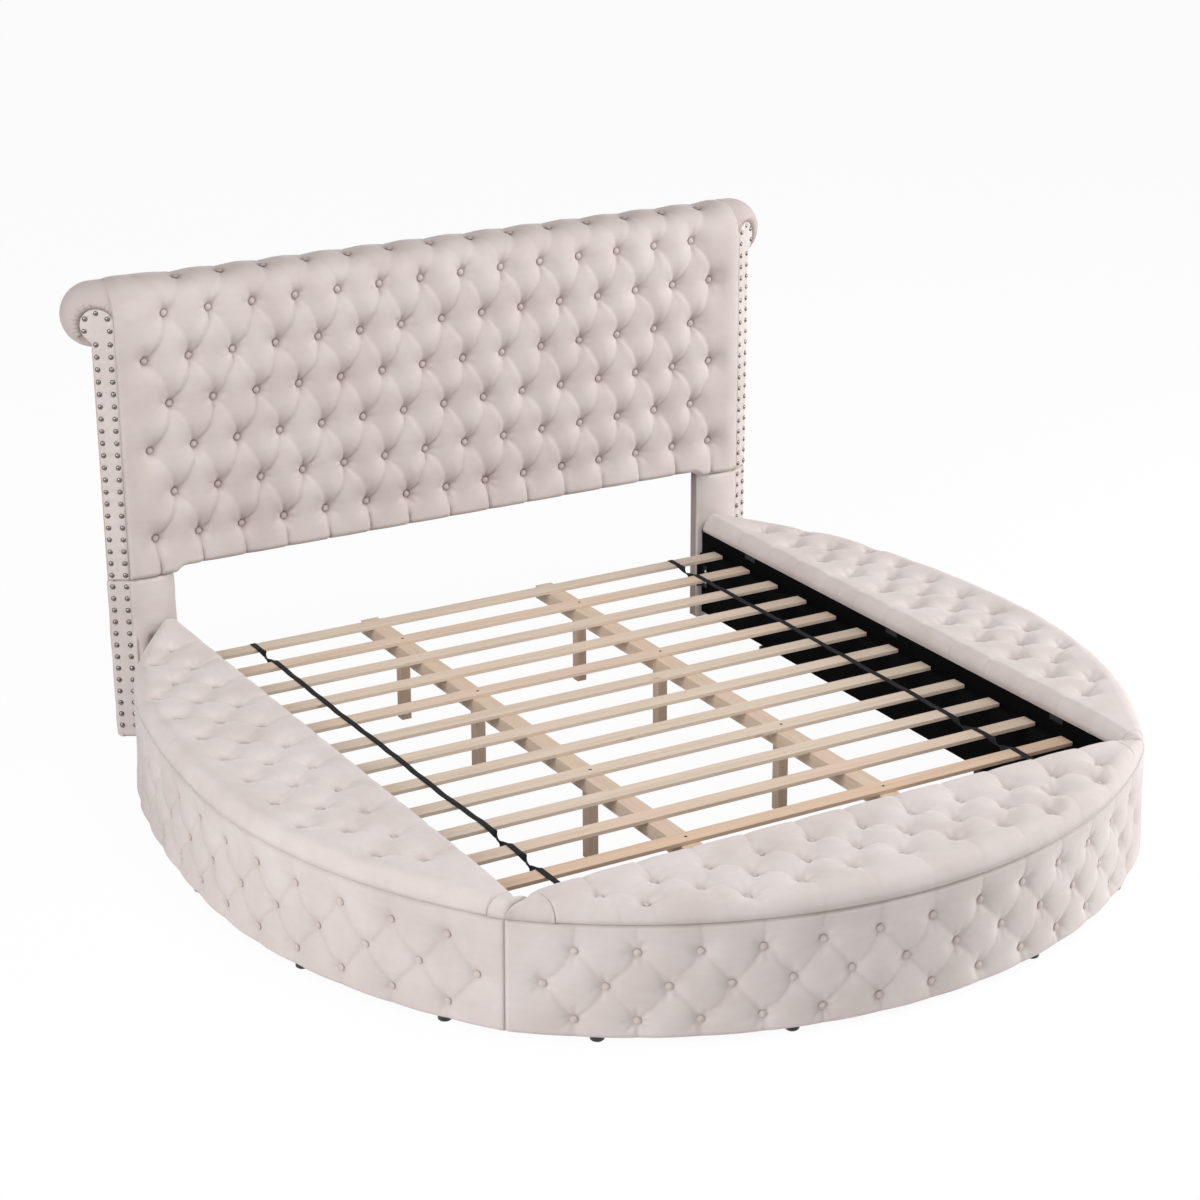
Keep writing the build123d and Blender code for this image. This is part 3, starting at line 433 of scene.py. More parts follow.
class Finishes:
    """All the finishes of the bed, made once."""

    def __init__(self) -> None:
        """Make each finish."""
        self.velvet = Velvet().make()
        self.button = Velvet("button_velvet", (0.56, 0.475, 0.45), (0.62, 0.54, 0.515)).make()
        self.slats = Pine("slat_pine", Grain.ACROSS).make()
        self.rails = Pine("rail_pine", Grain.DOWN, (0.62, 0.49, 0.39), (0.48, 0.37, 0.28),
                          board_pitch=0.5, rosy_board=-1.0).make()
        self.legs = Pine("leg_pine", Grain.UPRIGHT, (0.56, 0.43, 0.34), (0.42, 0.31, 0.23),
                         board_pitch=0.5, rosy_board=-1.0).make()
        self.lining = Lining().make()
        self.board = Panel("pressed_board").make()
        self.chrome = Metal("dark_chrome", (0.20, 0.18, 0.17), 0.24).make()
        self.dark_steel = Metal("dark_steel", (0.035, 0.035, 0.037), 0.45).make()
        self.steel = Metal("zinc_steel", (0.62, 0.61, 0.58), 0.36).make()
        self.webbing = Webbing().make()
        self.plastic = Plastic().make()


def ripple(u: Array, v: Array, wave: float, seed: int) -> Array:
    """Smooth random waves between about -1 and 1.

    Args:
        u: First coordinate.
        v: Second coordinate.
        wave: Usual length of a wave.
        seed: Choice of the waves.

    Returns:
        The height at each point.
    """
    luck = np.random.default_rng(seed)
    total = np.zeros_like(u)
    for _ in range(7):
        turn = luck.uniform(0, 2 * math.pi)
        rate = 2 * math.pi / (wave * luck.uniform(0.6, 1.6))
        total += np.sin(rate * (u * math.cos(turn) + v * math.sin(turn)) + luck.uniform(0, 2 * math.pi))
    return total / 3.2


def rounded(distance: Array, reach: float) -> Array:
    """Share of full height at a distance from an edge: a quarter round that ends at the reach."""
    return np.sqrt(np.clip(1 - (1 - np.clip(distance / reach, 0, 1)) ** 2, 0, 1))


def bell(distance: Array, width: float) -> Array:
    """Bell that is 1 at no distance and falls off within a width."""
    return np.exp(-((distance / width) ** 2))


def eased(share: Array, amount: float) -> Array:
    """Shares that crowd toward both ends: spread evenly at amount 0, by a cosine at 1."""
    return (1 - amount) * share + amount * (0.5 - 0.5 * np.cos(math.pi * share))


def single(surface: Callable[..., Array], *values: float) -> Array:
    """One result of a function that is written for arrays."""
    return surface(*(np.array([value]) for value in values))[0]


def add_object(name: str, data: bpy.types.ID) -> Object:
    """Put an object into the scene.

    Args:
        name: Its name.
        data: Its mesh, light or camera.

    Returns:
        The object.
    """
    thing = bpy.data.objects.new(name, data)
    bpy.context.collection.objects.link(thing)
    return thing


def as_mesh(bm: bmesh.types.BMesh, name: str) -> Mesh:
    """Turn an edited mesh into a finished one.

    Args:
        bm: The edited mesh, which is let go.
        name: Name of the finished one.

    Returns:
        The mesh.
    """
    mesh = bpy.data.meshes.new(name)
    bm.to_mesh(mesh)
    bm.free()
    return mesh


def finish_piece(mesh: Mesh, body: Body, slot: str, material: Material, *nodes: str, depth: float = 0.0,
                 way: float = -1.0, fill: float | None = None) -> None:
    """Put a mesh into the scene as a piece that rides on a body in place of CAD nodes.

    Args:
        mesh: The finished mesh.
        body: Body that carries it.
        slot: The record's material slot; not used.
        material: Its finish.
        *nodes: The nodes that it replaces.
        depth: Thickness given to a sheet, or 0 for a closed mesh.
        way: -1 where a sheet is thickened inward, 1 outward.
        fill: How full its padding is, or None where it has none; not used.
    """
    piece = add_object(mesh.name, mesh)
    mesh.materials.append(material)
    mesh.polygons.foreach_set("use_smooth", [True] * len(mesh.polygons))
    mesh.update()
    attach(piece, body.value)
    if depth:
        solid = piece.modifiers.new("thickness", "SOLIDIFY")
        solid.thickness = depth
        solid.offset = way
        solid.use_rim = True
    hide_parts(*nodes)
    log.info("%s: %d faces", mesh.name, len(mesh.polygons))


def cloth_mesh(name: str, columns: int, rows: int, place: Surface, inside: Triple | None = None,
               wrap: bool = False) -> Mesh:
    """Lay a grid over a surface, with its cloth map and its fold attribute, which holds painted shade.

    Args:
        name: Name of the mesh.
        columns: Steps across.
        rows: Steps along.
        place: Gives points, the two map coordinates and the share of painted shade for shares across and
            along.
        inside: A point behind a sheet, which its faces turn away from, or None where open ends are
            closed with a face.
        wrap: Whether the first and last columns are one.

    Returns:
        The mesh.
    """
    bm = bmesh.new()
    bmesh.ops.create_grid(bm, x_segments=columns, y_segments=rows, size=0.5)
    mesh = as_mesh(bm, name)
    flat = np.empty(len(mesh.vertices) * 3)
    mesh.vertices.foreach_get("co", flat)
    across = np.clip(flat[0::3] + 0.5, 0, 1)
    along = np.clip(flat[1::3] + 0.5, 0, 1)
    points, u, v, fold = place(across, along)
    mesh.vertices.foreach_set("co", points.ravel())
    corners = np.empty(len(mesh.loops), dtype=np.int32)
    mesh.loops.foreach_get("vertex_index", corners)
    layer = mesh.uv_layers.new(name="cloth")
    layer.data.foreach_set("uv", np.stack([u, v], -1)[corners].ravel())
    # the fold attribute holds the painted shade that the velvet mixes in
    mesh.attributes.new("fold", "FLOAT", "POINT").data.foreach_set("value", np.clip(fold, 0, 1))
    bm = bmesh.new()
    bm.from_mesh(mesh)
    if wrap:
        bmesh.ops.remove_doubles(bm, verts=bm.verts[:], dist=1e-5)
    if inside is None:
        bmesh.ops.holes_fill(bm, edges=[e for e in bm.edges if e.is_boundary], sides=0)
        bmesh.ops.recalc_face_normals(bm, faces=bm.faces[:])
    else:
        centre = Vector(inside)
        lean = sum((f.calc_center_median() - centre).dot(f.normal) * f.calc_area() for f in bm.faces)
        if lean < 0:
            bmesh.ops.reverse_faces(bm, faces=bm.faces[:])
    bm.to_mesh(mesh)
    bm.free()
    return mesh


def repeat(name: str, template: Mesh, spots: list[Matrix]) -> Mesh:
    """One mesh with a copy of a small template at each place.

    Args:
        name: Name of the mesh.
        template: The mesh that is repeated.
        spots: Where each copy stands.

    Returns:
        The mesh.
    """
    bm = bmesh.new()
    for spot in spots:
        start = len(bm.verts)
        bm.from_mesh(template)
        bm.verts.ensure_lookup_table()
        bmesh.ops.transform(bm, matrix=spot, verts=bm.verts[start:])
    return as_mesh(bm, name)


def turned(name: str, profile: list[Spot], steps: int) -> Mesh:
    """Turn a small shape about Z.

    Args:
        name: Name of the mesh.
        profile: Its (radius, height) points, with both ends on the axis.
        steps: Steps round.

    Returns:
        The mesh.
    """
    bm = bmesh.new()
    line = [bm.verts.new((radius, 0, height)) for radius, height in profile]
    edges = [bm.edges.new(pair) for pair in zip(line, line[1:])]
    bmesh.ops.spin(bm, geom=line + edges, cent=(0, 0, 0), axis=(0, 0, 1), angle=2 * math.pi,
                   steps=steps, use_merge=True)
    bmesh.ops.remove_doubles(bm, verts=bm.verts[:], dist=1e-6)
    bmesh.ops.recalc_face_normals(bm, faces=bm.faces[:])
    return as_mesh(bm, name)


def standing(point: Vector, out: Vector, spin: float = 0.0) -> Matrix:
    """Matrix that stands a shape on a point with its Z along a direction."""
    turn = out.to_track_quat("Z", "Y").to_matrix().to_4x4()
    return Matrix.Translation(point) @ turn @ Matrix.Rotation(spin, 4, "Z")


def stood_on(surface: Callable[..., Array], one: float, other: float, lift: float, far: float,
             spin: float = 0.0) -> Matrix:
    """Stand a shape on a surface, square to it.

    Args:
        surface: Gives points for two coordinates and a height.
        one: First coordinate.
        other: Second coordinate.
        lift: Height where the shape stands.
        far: A larger height, which gives the direction.
        spin: Turn about its own Z.

    Returns:
        The shape's matrix.
    """
    near, above = (Vector(single(surface, one, other, height)) for height in (lift, far))
    return standing(near, above - near, spin)


def add_buttons(name: str, node: str, body: Body, radius: float, height: float, spots: list[Matrix],
                material: Material, shaded_from: float = 10.0) -> None:
    """Put a set of self-covered buttons with rolled rims into the scene.

    Args:
        name: Name of the piece.
        node: The CAD node that it replaces.
        body: Body that carries it.
        radius: Radius of a button.
        height: Height of its dome.
        spots: Where the buttons stand.
        material: Their velvet.
        shaded_from: Height above which the buttons get painted shade, as on the crest.
    """
    profile = [(0.0, height), (0.55 * radius, 0.93 * height), (0.78 * radius, 0.66 * height),
               (0.9 * radius, 0.72 * height), (radius, 0.42 * height), (0.86 * radius, -0.002), (0.0, -0.002)]
    mesh = repeat(name, turned("button_shape", profile, 10), spots)
    layer = mesh.uv_layers.new(name="cloth")
    for loop, spot in zip(mesh.loops, layer.data):
        point = mesh.vertices[loop.vertex_index].co
        spot.uv = (point.x, point.z + point.y)
    # painted shade on the crest buttons, through the fold attribute
    shades = [0.85 if vertex.co.z > shaded_from else 0.0 for vertex in mesh.vertices]
    mesh.attributes.new("fold", "FLOAT", "POINT").data.foreach_set("value", shades)
    finish_piece(mesh, body, "velvet", material, node)


@dataclass(frozen=True)
class Arc:
    """A round stretch of the plan: its centre, radius and the angles where it starts and ends."""

    x: float
    y: float
    radius: float
    start: float
    end: float

    @classmethod
    def about(cls, x: float, y: float, first: Spot, last: Spot) -> "Arc":
        """Arc about a centre from one point to another."""
        start, end = (math.atan2(point[1] - y, point[0] - x) for point in (first, last))
        return cls(x, y, math.hypot(first[0] - x, first[1] - y), start, end)

    def at(self, angle: Array, out: Array) -> tuple[Array, Array]:
        """Points at angles, moved out square to the arc."""
        reach = self.radius + out
        return self.x + reach * np.cos(angle), self.y + reach * np.sin(angle)


@dataclass
class Outline:
    """Plan of the benches at the seam, from the front of the headboard's legs (y = 0) to the foot."""

    half_width: float = 1.403
    widest: float = 1.232
    shoulder: Spot = (1.336, 0.590)
    tip: float = 1.017
    corner: Spot = (1.032, 2.284)
    foot: float = 2.690
    inner_edge: float = 0.975
    foot_edge: float = 2.248

    def __post_init__(self) -> None:
        """Work out the three arcs of the right side and the one at the foot."""
        sx, sy = self.shoulder
        cx, cy = self.corner
        wide = self.half_width - self.radius_for(self.half_width - sx, self.widest - sy)
        inward = Vector((wide - sx, -self.widest + sy)).normalized()
        chord = Vector((self.tip - sx, sy))
        head = chord.length_squared / (2 * chord.dot(inward))
        centre = Vector((sx, -sy)) + inward * head
        turn = self.half_width - self.radius_for(self.half_width - cx, cy - self.widest)
        low = self.radius_for(self.foot - cy, cx)
        widest = (self.half_width, -self.widest)
        self.sides = (
            Arc.about(centre.x, centre.y, (self.tip, 0.0), (sx, -sy)),
            Arc.about(wide, -self.widest, (sx, -sy), widest),
            Arc.about(turn, -self.widest, widest, (cx, -cy)),
        )
        self.foot_arc = Arc.about(0.0, low - self.foot, (cx, -cy), (0.0, -self.foot))

    @staticmethod
    def radius_for(rise: float, run: float) -> float:
        """Radius of an arc that leaves its tangent by a rise over a run."""
        return (rise**2 + run**2) / (2 * rise)

    @property
    def side_length(self) -> float:
        """Length of a side wall from its tip at the head to the corner."""
        return sum((a.start - a.end) * a.radius for a in self.sides)

    @property
    def foot_half(self) -> float:
        """Length of the foot wall from its middle to the corner."""
        return self.foot_arc.radius * (self.foot_arc.start + math.pi / 2)

    def side_point(self, length: Array, out: Array) -> tuple[Array, Array]:
        """Points of the right side of the plan.

        Args:
            length: Lengths along the wall from the head.
            out: How far they are moved out.

        Returns:
            Both plan coordinates.
        """
        x, y = np.zeros_like(length), np.zeros_like(length)
        begun = 0.0
        for arc in self.sides:
            px, py = arc.at(arc.start - (length - begun) / arc.radius, out)
            x, y = np.where(length >= begun, px, x), np.where(length >= begun, py, y)
            begun += (arc.start - arc.end) * arc.radius
        return x, y

    def foot_point(self, length: Array, out: Array) -> tuple[Array, Array]:
        """Points of the foot wall at lengths along it from its middle."""
        return self.foot_arc.at(length / self.foot_arc.radius - math.pi / 2, out)

    def half_at(self, down: Array) -> Array:
        """Half width of the plan.

        Args:
            down: Distances from the headboard.

        Returns:
            The half widths.
        """
        width = np.zeros_like(down)
        for arc in self.sides:
            top = arc.y + arc.radius * math.sin(arc.start)
            px = arc.x + np.sqrt(np.clip(arc.radius**2 - (-down - arc.y) ** 2, 0, None))
            width = np.where(-down <= top + 1e-9, px, width)
        return width

    def foot_at(self, x: Array) -> Array:
        """Distance of the foot outline from the headboard at a place across."""
        return np.sqrt(self.foot_arc.radius**2 - x**2) - self.foot_arc.y


@dataclass
class TuftNet:
    """Deep buttoning drawn flat: buttons, the folds between them and the pleats to the edges."""

    crown: float
    reach: float = 0.045
    crease: float = 0.013
    dimple: float = 0.034
    broad_share: float = 0.20
    crease_share: float = 0.13
    bow: float = 0.011
    lean: float = 0.5
    wander: float = 0.003
    pull: float = 0.0015
    flat: float = 0.012
    # strength of the painted shade along the folds
    dark: float = 0.34
    seed: int = 1
    calm: float = 0.035
    gather_at: float = 0.026
    gather_width: float = 0.014
    # This and the next three set the painted shade: how far it keeps off the buttons, its width along a fold,
    # and its width and strength round each button.
    clear: float = 0.030
    fold_shade_width: float = 0.0045
    seat: float = 0.015
    seat_painted_shade: float = 0.12
    buttons: list[Spot] = field(default_factory=list)
    folds: list[tuple[Spot, Spot, float]] = field(default_factory=list)

    def fold(self, one: Spot, other: Spot, depth: float = 1.0) -> None:
        """Add a fold between two points, from 0, faint, to 1, full depth."""
        self.folds.append((one, other, depth))

    def relief(self, u: Array, v: Array) -> tuple[Array, Array]:
        """Height of the padding over the button plane, and how much painted shade each point gets, along the
        folds and round the buttons.

        A fold bows to one side, and the padding stands steeper on its hollow side.

        Args:
            u: Places along.
            v: Places across.

        Returns:
            Heights and shares of painted shade.
        """
        near = np.full(u.shape, 1.0)
        for bu, bv in self.buttons:
            near = np.minimum(near, np.hypot(u - bu, v - bv))
        calm = self.wander * (1 - bell(near, self.calm))
        wu = u + calm * ripple(u, v, 0.11, self.seed)
        wv = v + calm * ripple(u, v, 0.13, self.seed + 1)
        total = np.full(u.shape, 1e-3)
        turned_to = np.zeros_like(u)
        strength = np.zeros_like(u)
        for (au, av), (bu, bv), depth in self.folds:
            du, dv = bu - au, bv - av
            share = np.clip(((wu - au) * du + (wv - av) * dv) / (du * du + dv * dv), 0, 1)
            bend = self.bow * 4 * share * (1 - share) if abs(du * dv) > 1e-5 else 0.0
            off = wu - au - share * du - bend
            gap = np.hypot(off, wv - av - share * dv) + 2e-4
            weight = 1 / gap**4
            total += weight
            turned_to += weight * off / gap
            strength += weight * depth
        distance = total**-0.25
        strength = strength / total
        spread = 1 + self.lean * turned_to / total
        puff = (1 - (1 - np.clip(distance / (self.reach * spread), 0, 1)) ** 2) ** 0.8
        line = (1 - (1 - np.clip(distance / (self.crease * spread), 0, 1)) ** 2) ** 0.6
        sunk = strength * (self.broad_share * (1 - puff) + self.crease_share * (1 - line))
        press = np.ones_like(u)
        pulls = np.zeros_like(u)
        luck = np.random.default_rng(self.seed + 7)
        for bu, bv in self.buttons:
            away = np.hypot(u - bu, v - bv)
            press *= 1 - np.exp(-(np.clip(away - self.flat, 0, None) / self.dimple) ** 1.15)
            angle = np.arctan2(v - bv, u - bu)
            count = int(luck.integers(5, 9))
            wave = np.cos(count * angle + luck.uniform(0, 6)) + 0.5 * np.cos(3 * angle + luck.uniform(0, 6))
            near_rim = bell(away - self.gather_at, self.gather_width)
            pulls += self.pull * luck.uniform(0.5, 1.4) * wave * near_rim
        soft = self.broad_share + self.crease_share
        height = self.crown * ((1 - soft) * press + (soft - sunk) * press**0.4)
        # painted shade: a dark line along each fold and a ring round each button
        clear = 1 - bell(near, self.clear)
        depth = self.dark * strength * clear * np.exp(-((distance / self.fold_shade_width) ** 1.2))
        return height + pulls, depth + self.seat_painted_shade * bell(near, self.seat)


def staggered(low: float, high: float, pitch: float, phase: float) -> list[float]:
    """Set out places at a pitch.

    Args:
        low: The least place.
        high: The greatest place.
        pitch: Distance between two of them.
        phase: A place that one of them keeps.

    Returns:
        The places.
    """
    first = math.ceil((low - phase) / pitch)
    last = math.floor((high - phase) / pitch)
    return [phase + k * pitch for k in range(first, last + 1)]


def neighbours(one: float, other: float, pitch: float) -> bool:
    """Whether two buttons of staggered rows lie next to each other."""
    return abs(one - other) < pitch * 0.75


@dataclass
class Headboard:
    """Tufted panel with its rolled top and its covered buttons."""

    finishes: Finishes
    half: float = 1.122
    ear: float = 0.970
    low: float = 0.529
    gap: float = 0.547
    ear_round: float = 0.035
    board_back: float = 0.049
    plane: float = 0.016
    crown: float = 0.044
    pitch: float = 0.1455
    row_pitch: float = 0.1425
    first_row: float = 0.650
    roll_y: float = 0.103
    roll_z: float = 1.366
    roll_radius: float = 0.084
    roll_crown: float = 0.021
    end_angle: float = math.radians(218)
    rail_back: float = 0.105
    rail_low: float = 1.3135
    crest_row: float = 1.484
    shift: float = -0.008
    # painted shade over the whole cover, and more over the top of the roll
    nap: float = 0.17
    crest_nap: float = 0.30
    button_radius: float = 0.0108
    button_height: float = 0.0085
    cover: float = 0.005
    cell: float = 0.0052
    quick_cell: float = 0.009
    side_round: float = 0.085
    side_share: float = 0.36
    hem_round: float = 0.022
    pad_x: float = 1.085
    pad_width: float = 0.03
    pad: float = 0.004
    under: tuple[float, ...] = (-0.035, -0.018, -0.004)
    hem: tuple[float, ...] = (0.0006, 0.0018, 0.004)
    tuck: tuple[float, ...] = (0.004, 0.03, 0.06, 0.085)
    # painted shade round the crest buttons, and its width
    crest_button_painted_shade: float = 0.5
    crest_ring: float = 0.017

    @property
    def end(self) -> float:
        """Length up the face and round the roll, to where the cover ends."""
        return self.roll_z + self.roll_radius * self.end_angle

    def place(self, x: Array, v: Array, height: Array) -> Array:
        """Points of the front.

        Args:
            x: Places across.
            v: Places up the face, then round the roll.
            height: Height over the button plane.

        Returns:
            The points.
        """
        turn = np.clip(v - self.roll_z, 0, None)
        share = np.clip((v - self.first_row) / (self.roll_z - self.first_row), 0, 1)
        front = self.plane + share * (self.roll_y - self.roll_radius - self.plane) - height
        angle = turn / self.roll_radius
        settle = 1 - (1 - self.roll_crown / self.crown) * np.clip(2 * angle / math.pi, 0, 1)
        reach = self.roll_radius + height * settle
        on_roll = v > self.roll_z
        y = np.where(on_roll, self.roll_y - reach * np.cos(angle), front)
        z = np.where(on_roll, self.roll_z + reach * np.sin(angle), v)
        return np.stack([x, y + HEAD_Y, z], -1)

    def net(self) -> TuftNet:
        """Draw the buttons and folds of the panel.

        Returns:
            The net.
        """
        # dark sets the painted shade along the folds
        net = TuftNet(self.crown, reach=0.044, dimple=0.036, bow=0.013, lean=0.6, broad_share=0.29,
                      crease_share=0.17, crease=0.0125, dark=0.5, seed=11)
        rows = []
        for k in range(7):
            count = 15 - k % 2
            v = self.first_row + k * self.row_pitch if k < 6 else self.crest_row
            rows.append([((i - (count - 1) / 2) * self.pitch + self.shift, v) for i in range(count)])
        rows[-1] = rows[-1][1:]
        for row, above in zip(rows, [*rows[1:], []]):
            net.buttons += row
            for spot in row:
                for other in above:
                    if neighbours(spot[0], other[0], self.pitch):
                        net.fold(spot, other, 1.0 if other[0] > spot[0] else 0.7)
        for x, v in rows[0]:
            net.fold((x, v), (x, self.low), 0.8)
        for x, v in rows[-1]:
            net.fold((x, v), (x, self.end + 0.05), 0.45)
        net.fold(rows[5][0], (rows[5][0][0] - 0.075, self.crest_row), 0.6)
        for x, v in (rows[4][0], rows[4][-1]):
            net.fold((x, v), (x + math.copysign(0.10, x), v - 0.01), 0.45)
        return net

    def make_panel(self) -> None:
        """The padded front with its roll, and its buttons."""
        net = self.net()
        step = self.cell
        length = self.end - self.low
        body = np.linspace(0, 1, round((length + 0.1) / (step * 1.15)))[1:]
        profile = np.concatenate([self.under, [0.0], self.hem, body, 1 + np.array(self.tuck)])

        def place(across: Array, along: Array) -> Placed:
            """Lay the cover from under its lower edge, up the face and over the roll.

            Args:
                across: Shares across.
                along: Shares along.

            Returns:
                Points, map and shares of painted shade.
            """
            x = self.half * (2 * across - 1)
            p = np.interp(along, np.linspace(0, 1, len(profile)), profile)
            ear = np.clip((np.abs(x) - self.ear) / self.ear_round + 1, 0, 1)
            low = self.gap + (self.low - self.gap) * ear**2
            v = low + np.clip(p, 0, 1) * (self.end - low)
            height, fold = net.relief(x, v)
            side = self.side_share + (1 - self.side_share) * rounded(self.half - np.abs(x), self.side_round)
            pad = self.pad * bell(np.abs(x) - self.pad_x, self.pad_width)
            points = self.place(x, v, (height + pad) * side * rounded(v - low + 1e-4, self.hem_round))
            over_roll = np.clip(v - self.roll_z, 0, None) / self.roll_radius
            # painted shade: a little over the whole cover, more over the top of the roll
            fold = fold + self.nap + self.crest_nap * bell(over_roll - 1.4, 0.75)
            crest = np.min([np.hypot(x - spot[0], v - spot[1]) for spot in net.buttons
                            if spot[1] == self.crest_row], axis=0)
            # painted shade round the buttons on the crest
            fold = fold + self.crest_button_painted_shade * bell(crest, self.crest_ring)
            points[:, 1] += np.clip(-p, 0, None) * (self.board_back - self.plane) / -self.under[0]
            over = np.clip(p - 1, 0, None) / self.tuck[-1]
            tail = np.stack([x, np.full_like(x, HEAD_Y + self.rail_back - 0.004),
                             np.full_like(x, self.rail_low - 0.002)], -1)
            return points + (tail - points) * over[:, None], x, v + p * 0.001, fold

        mesh = cloth_mesh("headboard_velvet", round(2 * self.half / step), len(profile) - 1, place,
                          (0, HEAD_Y + 0.1, 1.0))
        finish_piece(mesh, Body.FRAME, "velvet", self.finishes.velvet, "headboard_cushion", "headboard_roll",
                     depth=self.cover, fill=0.8)
        spots = [stood_on(self.place, x, v, 0.0012, 0.01, x * 7) for x, v in net.buttons]
        add_buttons("headboard_button_set", "headboard_buttons", Body.FRAME, self.button_radius,
                    self.button_height, spots, self.finishes.button, self.roll_z + 0.05)


@dataclass
class HeadboardEnd:
    """One end of the headboard: roll end, nailed facing, lower leg and their nails."""

    side: Side
    finishes: Finishes
    inner: float = 0.970
    front: float = 0.009
    back: float = 0.051
    nose_start: float = 1.062
    nose_reach: float = 0.020
    roll: float = 0.024
    bench_top: float = 0.322
    strip_in: float = 1.122
    strip_out: float = 1.180
    strip_depth: float = 0.036
    leg_top: float = 0.528
    leg_low: float = 0.002
    low: float = 0.529
    facing_depth: float = 0.006
    head_out: float = 0.050
    head_z: float = 1.345
    head_radius: float = 0.054
    neck_z: float = 1.290
    neck_width: float = 0.070
    roll_y: float = 0.103
    roll_z: float = 1.366
    end_x: float = 1.145
    end_start: float = 1.110
    end_radius: float = 0.102
    roll_proud: float = 0.017
    gather: float = 0.0012
    nail_radius: float = 0.0088
    nail_height: float = 0.0058
    nail_pitch: float = 0.039
    nail_edge: float = 0.0125
    facing_face: float = 0.0035
    facing_round: float = 0.009
    pucker: float = 0.0011
    pucker_width: float = 0.012
    gathers: Spot = (26, 41)
    leg_shift: float = 0.034
    leg_seam: float = 0.012
    nail_start: float = math.radians(-20)
    nail_sweep: float = math.radians(220)

    @property
    def width(self) -> float:
        """Width of the nail strip."""
        return math.hypot(self.strip_out - self.strip_in, self.strip_depth)

    def on_strip(self, across: Array, z: Array, out: Array) -> Array:
        """Points on the splayed strip.

        Args:
            across: Places across it, from its inner edge.
            z: Heights.
            out: How far they are moved out square to it.

        Returns:
            The points.
        """
        ax = (self.strip_out - self.strip_in) / self.width
        ay = self.strip_depth / self.width
        x = self.strip_in + across * ax + out * ay
        y = across * ay - out * ax
        return np.stack([x * self.side.value, y + HEAD_Y, z], -1)

    def add_velvet(self, piece: str, node: str, columns: int, rows: int, place: Surface, fill: float) -> None:
        """Put one padded velvet piece of this end into the scene.

        Args:
            piece: Its name, without the side.
            node: The CAD node that it replaces, without the side.
            columns: Steps across.
            rows: Steps along.
            place: Its surface.
            fill: How full its padding is.
        """
        mesh = cloth_mesh(f"{piece}_{self.side.word}", columns, rows, place, wrap=True)
        finish_piece(mesh, Body.FRAME, "velvet", self.finishes.velvet, f"{node}_{self.side.word}", fill=fill)

    def make_facing(self) -> None:
        """The padded facing with its scroll head."""
        top = self.head_z + self.head_radius
        turn = math.radians(-35)
        tuck_s = self.head_out + self.head_radius * math.cos(turn)
        tuck_z = self.head_z + self.head_radius * math.sin(turn)

        def edges(z: Array) -> tuple[Array, Array]:
            """Find both edges of the facing.

            Args:
                z: Heights.

            Returns:
                The inner and the outer edge, as places across the strip.
            """
            round_half = np.sqrt(np.clip(self.head_radius**2 - (z - self.head_z) ** 2, 0, None))
            left = np.interp(z, [self.low, self.neck_z], [0.0, self.head_out - self.head_radius])
            left = np.where(z > self.head_z, self.head_out - round_half, left)
            right = np.interp(z, [self.low, self.neck_z, tuck_z], [self.width, self.neck_width, tuck_s])
            return left, np.where(z > tuck_z, self.head_out + round_half, right)

        def place(across: Array, along: Array) -> Placed:
            """Pad the facing, puckered at its nails.

            Args:
                across: Shares across.
                along: Shares along.

            Returns:
                Points, map and fold shares.
            """
            share = np.where(along < 0.8, along / 0.8 * 0.9,
                             0.9 + 0.1 * np.sin((along - 0.8) / 0.2 * math.pi / 2))
            z = self.low + share * (top - self.low)
            left, right = edges(z)
            s = left + eased(across, 1.0) * (right - left)
            gap = np.minimum(np.minimum(s - left, right - s), np.minimum(z - self.low, (top - z) * 1.4))
            pucker = self.pucker * np.cos(2 * math.pi * (z - self.low) / self.nail_pitch)
            nails = np.minimum(np.abs(s - left - self.nail_edge), np.abs(right - s - self.nail_edge))
            out = (self.facing_depth + self.facing_face + pucker * bell(nails, self.pucker_width)
                   + 0.0008 * ripple(s, z, 0.03, 3)) * rounded(gap, self.facing_round)
            return self.on_strip(s, z, out - self.facing_depth), s, z, np.zeros_like(s)

        self.add_velvet("facing_velvet", "facing", 14, 220, place, 0.7)

    def make_roll_end(self) -> None:
        """The round end of the roll, gathered in folds round the scroll head."""
        seat, base, step, beside = (single(self.on_strip, across, 0.0, out) for across, out in (
            (0.0, -self.facing_depth), (0.0, 0.0), (0.0, 1.0), (1.0, 0.0)))
        normal, along_strip = step - base, beside - base

